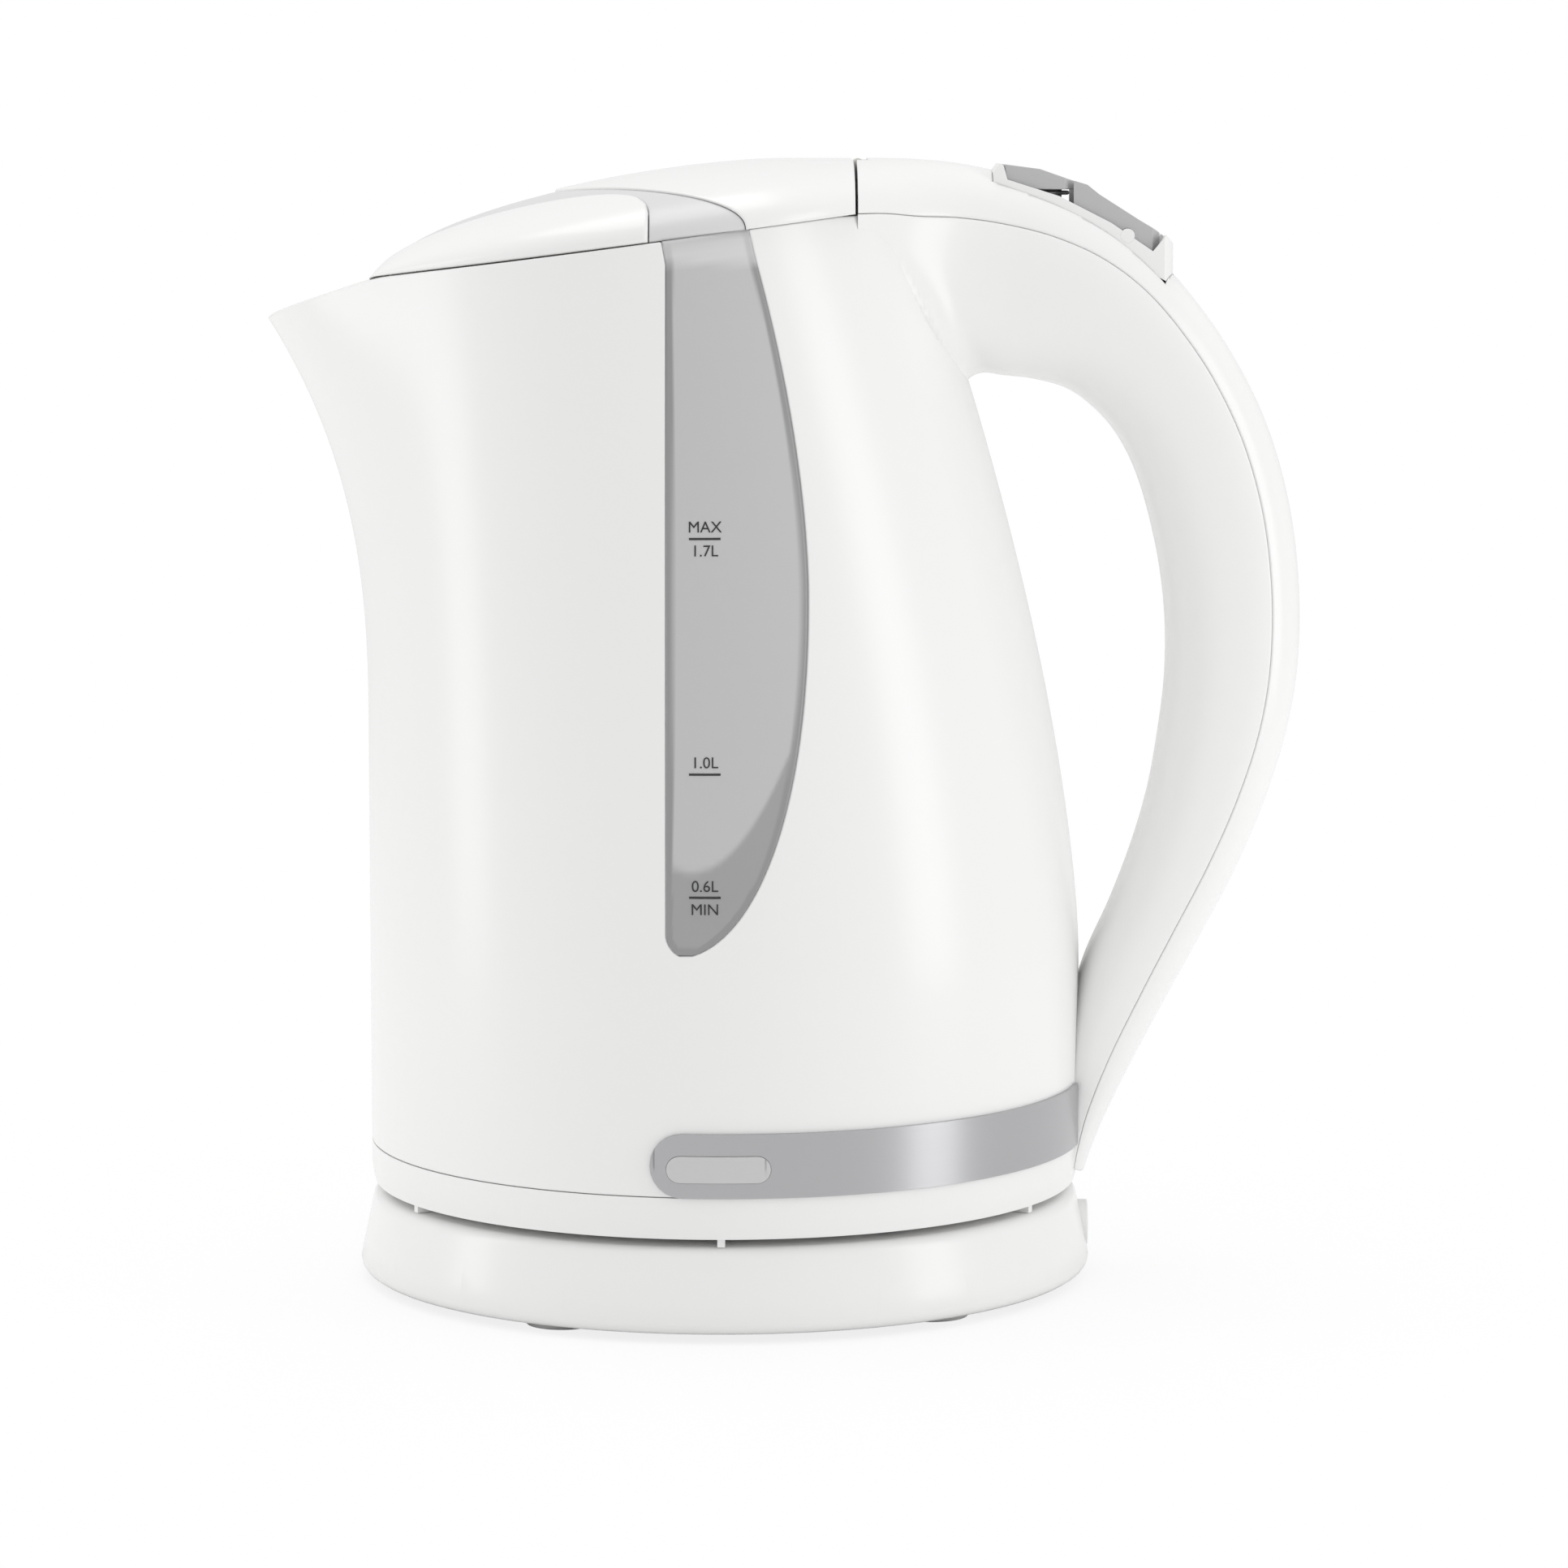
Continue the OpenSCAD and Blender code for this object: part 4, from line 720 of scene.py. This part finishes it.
def eased(e, r):
    """Sink of a moulded edge's rounding at distance e from the edge: r - sqrt(r^2 - (r - e)^2)."""
    short = r - np.minimum(e, r)
    return r - np.sqrt(np.maximum(r * r - short * short, 0))


def slow_start(count, length):
    """Steps from 0 to length that start close together: length times (1 - cos)."""
    return (1 - np.cos(np.linspace(0, np.pi / 2, count + 1))) * length


def edge_steps(count, ease_count, ease_share):
    """Steps from 0 to 1, with ease_count extra ones inside ease_share of both ends."""
    fine = slow_start(ease_count, ease_share)
    middle = np.linspace(ease_share, 1 - ease_share, count + 1)[1:-1]
    return np.concatenate([fine, middle, (1 - fine)[::-1]])


# The spans are the halves' lengths round the section, and station_gap is that between the first
# stations, all in mm.
grip_span, cover_span, station_gap = 60, 44, 6.5
front_round, cover_front = 0.4, 0.1
t = np.linspace(grip_start, last_station, 420)[:, None]
share = edge_steps(44, 4, 0.012)[None, :]
start = seam_angle(t) + seam_half
turn = start + (2 * np.pi - 2 * start) * share
from_seam = np.minimum(share, 1 - share) * grip_span
grip = plate("handle_grip_half", blended(t, turn, eased(from_seam, seam_round), wall_depth),
             blended(t, turn, grip_wall + 0 * turn, inner_depth))
place(grip, "jug", "white_plastic", white_pp, "handle_grip")

t = np.concatenate([cover_start + slow_start(4, cover_front - cover_start),
                    np.linspace(cover_front, last_station, 400)[1:]])[:, None]
share = edge_steps(40, 4, 0.014)[None, :]
start = seam_angle(t) - seam_half
turn = start - 2 * start * share
from_seam = np.minimum(share, 1 - share) * cover_span
from_front = (t - t[0]) * station_gap + 0 * share
rounding = np.maximum(eased(from_seam, seam_round), eased(from_front, front_round))
cover = plate("handle_cover_half", blended(t, turn, rounding, wall_depth),
              blended(t, turn, grip_wall + 0 * turn, inner_depth))


column_z, column_h = 220, 200


def cut_away(piece, name, outline_xz, half_y, column=None):
    """Takes a prism out of the piece: a side outline in x and z, from -half_y to half_y. With
    column, only what also lies in the upright cylinder (x, radius) is taken."""
    count = len(outline_xz)
    side = np.array(outline_xz, float)
    points = np.concatenate([np.insert(side, 1, y, axis=1) for y in (-half_y, half_y)])
    ring = np.arange(count)
    after = (ring + 1) % count
    mesh = bpy.data.meshes.new(name)
    mesh.from_pydata((points / 1000).tolist(), [], [list(ring), list(ring + count)[::-1]] + [
        [int(b), int(a), int(a + count), int(b + count)] for a, b in zip(ring, after)])
    cutter = new_object(name, mesh)
    parts = [cutter]
    if column:
        bpy.ops.mesh.primitive_cylinder_add(
            vertices=96, radius=column[1] / 1000, depth=column_h / 1000,
            location=(column[0] / 1000, 0, column_z / 1000))
        parts.append(bpy.context.object)
        limit = cutter.modifiers.new("limit", "BOOLEAN")
        limit.operation, limit.object, limit.solver = "INTERSECT", parts[1], "EXACT"
    cut = piece.modifiers.new("cut", "BOOLEAN")
    cut.operation, cut.object, cut.solver = "DIFFERENCE", cutter, "EXACT"
    cut.use_self = True
    bpy.context.view_layer.update()
    result = bpy.data.meshes.new_from_object(piece.evaluated_get(
        bpy.context.evaluated_depsgraph_get()))
    piece.modifiers.clear()
    piece.data = result
    for part in parts:
        bpy.data.objects.remove(part)


cut_top, cut_front_z, cut_rear_z = crown_z + 9, crown_z - 14, crown_z - 30
switch_half_w = 11.1
switch_front_x = body_r - 19.6
switch_rear_x = body_r + 19.8
switch_round = (body_r - 7.2, 26.6)
cut_away(cover, "switch_opening", [
    (switch_front_x, cut_top), (switch_front_x, cut_front_z),
    (switch_rear_x, cut_rear_z), (switch_rear_x, cut_top)], switch_half_w, switch_round)
hinge_notch_x, hinge_notch_half_y = 30.5, 13.0
notch_fore_x = lid_rear - 3
cut_away(cover, "hinge_notch", [
    (notch_fore_x, cut_top), (notch_fore_x, cut_front_z),
    (hinge_notch_x, cut_front_z), (hinge_notch_x, cut_top)], hinge_notch_half_y)
place(cover, "jug", "white_plastic", white_pp, "handle_cover")


# ---- Switch block in the handle's top ----
# A white frame is snapped into the cover. It holds the lid button and, behind it, the rocker of
# the power switch. Both are moulded in matt grey, and the rocker turns on a pin in the frame.
# ABS from a finely etched tool: light grey, soft and nearly matt.
grey_abs = plastic("etched_grey_abs", "#B9B9BA", 0.42, 1.54, 0.5, 0.01)

bezel = moulded_copy("switch_bezel", "switch_frame", 0.5)
place(bezel, "jug", "white_plastic", white_pp, "switch_bezel")
button = moulded_copy("lid_button", "lid_release_button", 0.7)
place(button, "lid_button", "button_plastic", grey_abs, "lid_button")
rocker = moulded_copy("power_switch", "power_rocker", 0.7)
place(rocker, "power_switch", "button_plastic", grey_abs, "power_switch")
dress(stainless, "button_spring", "hinge_pin")
dress(white_pp, "switch_pin")


# ---- Lid: shells, inlay and inner cup ----
# The lid's top is a dome in four mouldings: two white wings at the front, a grey T-shaped inlay
# between and behind them, and a white rear shell. They are screwed to the pale inner cup.
lid_front = 73.4
lid_t = 2.2
lid_plan_z = near_rim_z + 3
edge_lift = 0.2
crest_x, crest_power, crest_root = 12, 1.55, 1.7
arch_power, least_arch = 2.2, 1
strip_share, band_fore, wing_power = 0.54, 14.6, 2.8
tongue_front, band_back = 36.0, 5.0
inlay_sink = 0.6
wing_edge_r, inlay_edge_r, rear_edge_r = 1.1, 0.3, 0.5
lid_seam, wing_gap = 0.07, 0.15
rear_half_w, rear_overlap, notch_fade = 43.0, 0.25, 0.7

plan_x, plan_y = section(np.linspace(np.pi, 0, 361), lid_plan_z, 0)


def lid_point(x, v, d):
    """The dome at x and at the share v of its half width, d below its surface. The crown line is a
    superellipse from the front edge up to the hinge, and each cross arch is one of power 2.2."""
    u = np.clip((crest_x - x) / (crest_x + lid_front), 0, 1)
    low = rim_at(-lid_front)
    crest = low + (crown_z - low) * (1 - u ** crest_power) ** (1 / crest_root)
    edge = rim_at(x) + edge_lift
    arch = np.maximum(0, 1 - np.abs(v) ** arch_power) ** (1 / arch_power)
    width = np.interp(x, plan_x, plan_y)
    rise = np.maximum(least_arch, crest - edge)
    return np.stack([x + 0 * v, (width - d) * v, edge + (rise - d) * arch], -1)


def arch_shares(extra=()):
    """Shares v of the half width from -1 to 1, evenly spread along the arch by v = sin(angle) to
    the power 2 / 2.2, with extra ones on both sides."""
    even = np.sin(np.linspace(0, np.pi / 2, 61)) ** (2 / arch_power)
    half_arch = np.unique(np.concatenate([even, extra]))
    return np.concatenate([-half_arch[:0:-1], half_arch])[:, None]


def tongue_x(v):
    """Rear edge of the inlay: a parabola that reaches furthest forward in the middle."""
    return -tongue_front + (tongue_front + band_back) * v * v


def wing_x(v):
    """Rear edge of the wings: a superellipse from the lid's front edge to the band."""
    u = np.clip((1 - np.abs(v)) / (1 - strip_share), 0, 1)
    return -lid_front + (lid_front - band_fore) * (1 - u ** wing_power) ** (1 / wing_power)


def wing_v(x):
    """The same edge the other way round: the share of the width at x."""
    u = np.clip((x + lid_front) / (lid_front - band_fore), 0, 1)
    return 1 - (1 - strip_share) * (1 - u ** wing_power) ** (1 / wing_power)


def domed_plate(name, x, v, radius, sink):
    """A part of the dome as a closed plate, its outer edges eased by radius and sunk by sink."""
    outer = lid_point(x, v, sink)
    ease = eased(edge_distance(outer, outline(outer)), radius)
    return plate(name, lid_point(x, v, sink + ease), lid_point(x, v, lid_t))


wing_x_steps = -lid_front + (lid_front - band_fore - wing_gap) * edge_steps(40, 6, 0.02)[:, None]
for side, name in sides:
    outwards = edge_steps(26, 6, 0.04)[None, :]
    low = wing_v(wing_x_steps) + lid_seam / np.interp(wing_x_steps, plan_x, plan_y)
    arch_low = np.arcsin(np.minimum(1, low) ** (arch_power / 2))
    v = np.sin(arch_low + (np.pi / 2 - arch_low) * outwards) ** (2 / arch_power)
    wing = domed_plate("lid_wing_" + name, wing_x_steps + 0 * v, side * v, wing_edge_r, 0.0)
    place(wing, "lid", "white_plastic", white_pp, "lid_wings")

# Polypropylene, moulded with a satin face: light grey.
satin_grey_pp = plastic("satin_grey_polypropylene", "#D9D9D9", 0.32, 1.49)
# Extra shares follow the sides of the inlay's middle strip, where its front edge turns back.
v = arch_shares(strip_share + np.array([-0.003, 0.0, 0.0005, 0.001, 0.002, 0.004, 0.007]))
fore = wing_x(v) + np.where(np.abs(v) > strip_share, lid_seam, 0)
rear = tongue_x(v) - lid_seam
back = edge_steps(30, 4, 0.02)[None, :]
inlay = domed_plate("lid_grey_inlay", fore + (rear - fore) * back, v + 0 * back,
                    inlay_edge_r, inlay_sink)
place(inlay, "lid", "grey_plastic", satin_grey_pp, "lid_inlay")

# Beside the hinge the rear shell reaches a little further back.
v = arch_shares()
back = edge_steps(40, 5, 0.012)[None, :]
fore = tongue_x(v) + lid_seam
beside_hinge = np.clip((np.abs(v) * rear_half_w - hinge_notch_half_y) / notch_fade, 0, 1)
rear = lid_rear + rear_overlap * beside_hinge
shell = domed_plate("lid_rear_dome", fore + (rear - fore) * back, v + 0 * back, rear_edge_r, 0.0)
place(shell, "lid", "white_plastic", white_pp, "lid_rear_shell")

dress(pale_polyester, "lid_liner", "hinge_bridge", "lid_latch")
dress(silicone, "lid_seal")
dress(zinc, "lid_screws")
dress(satin_grey_pp, "spout_filter")
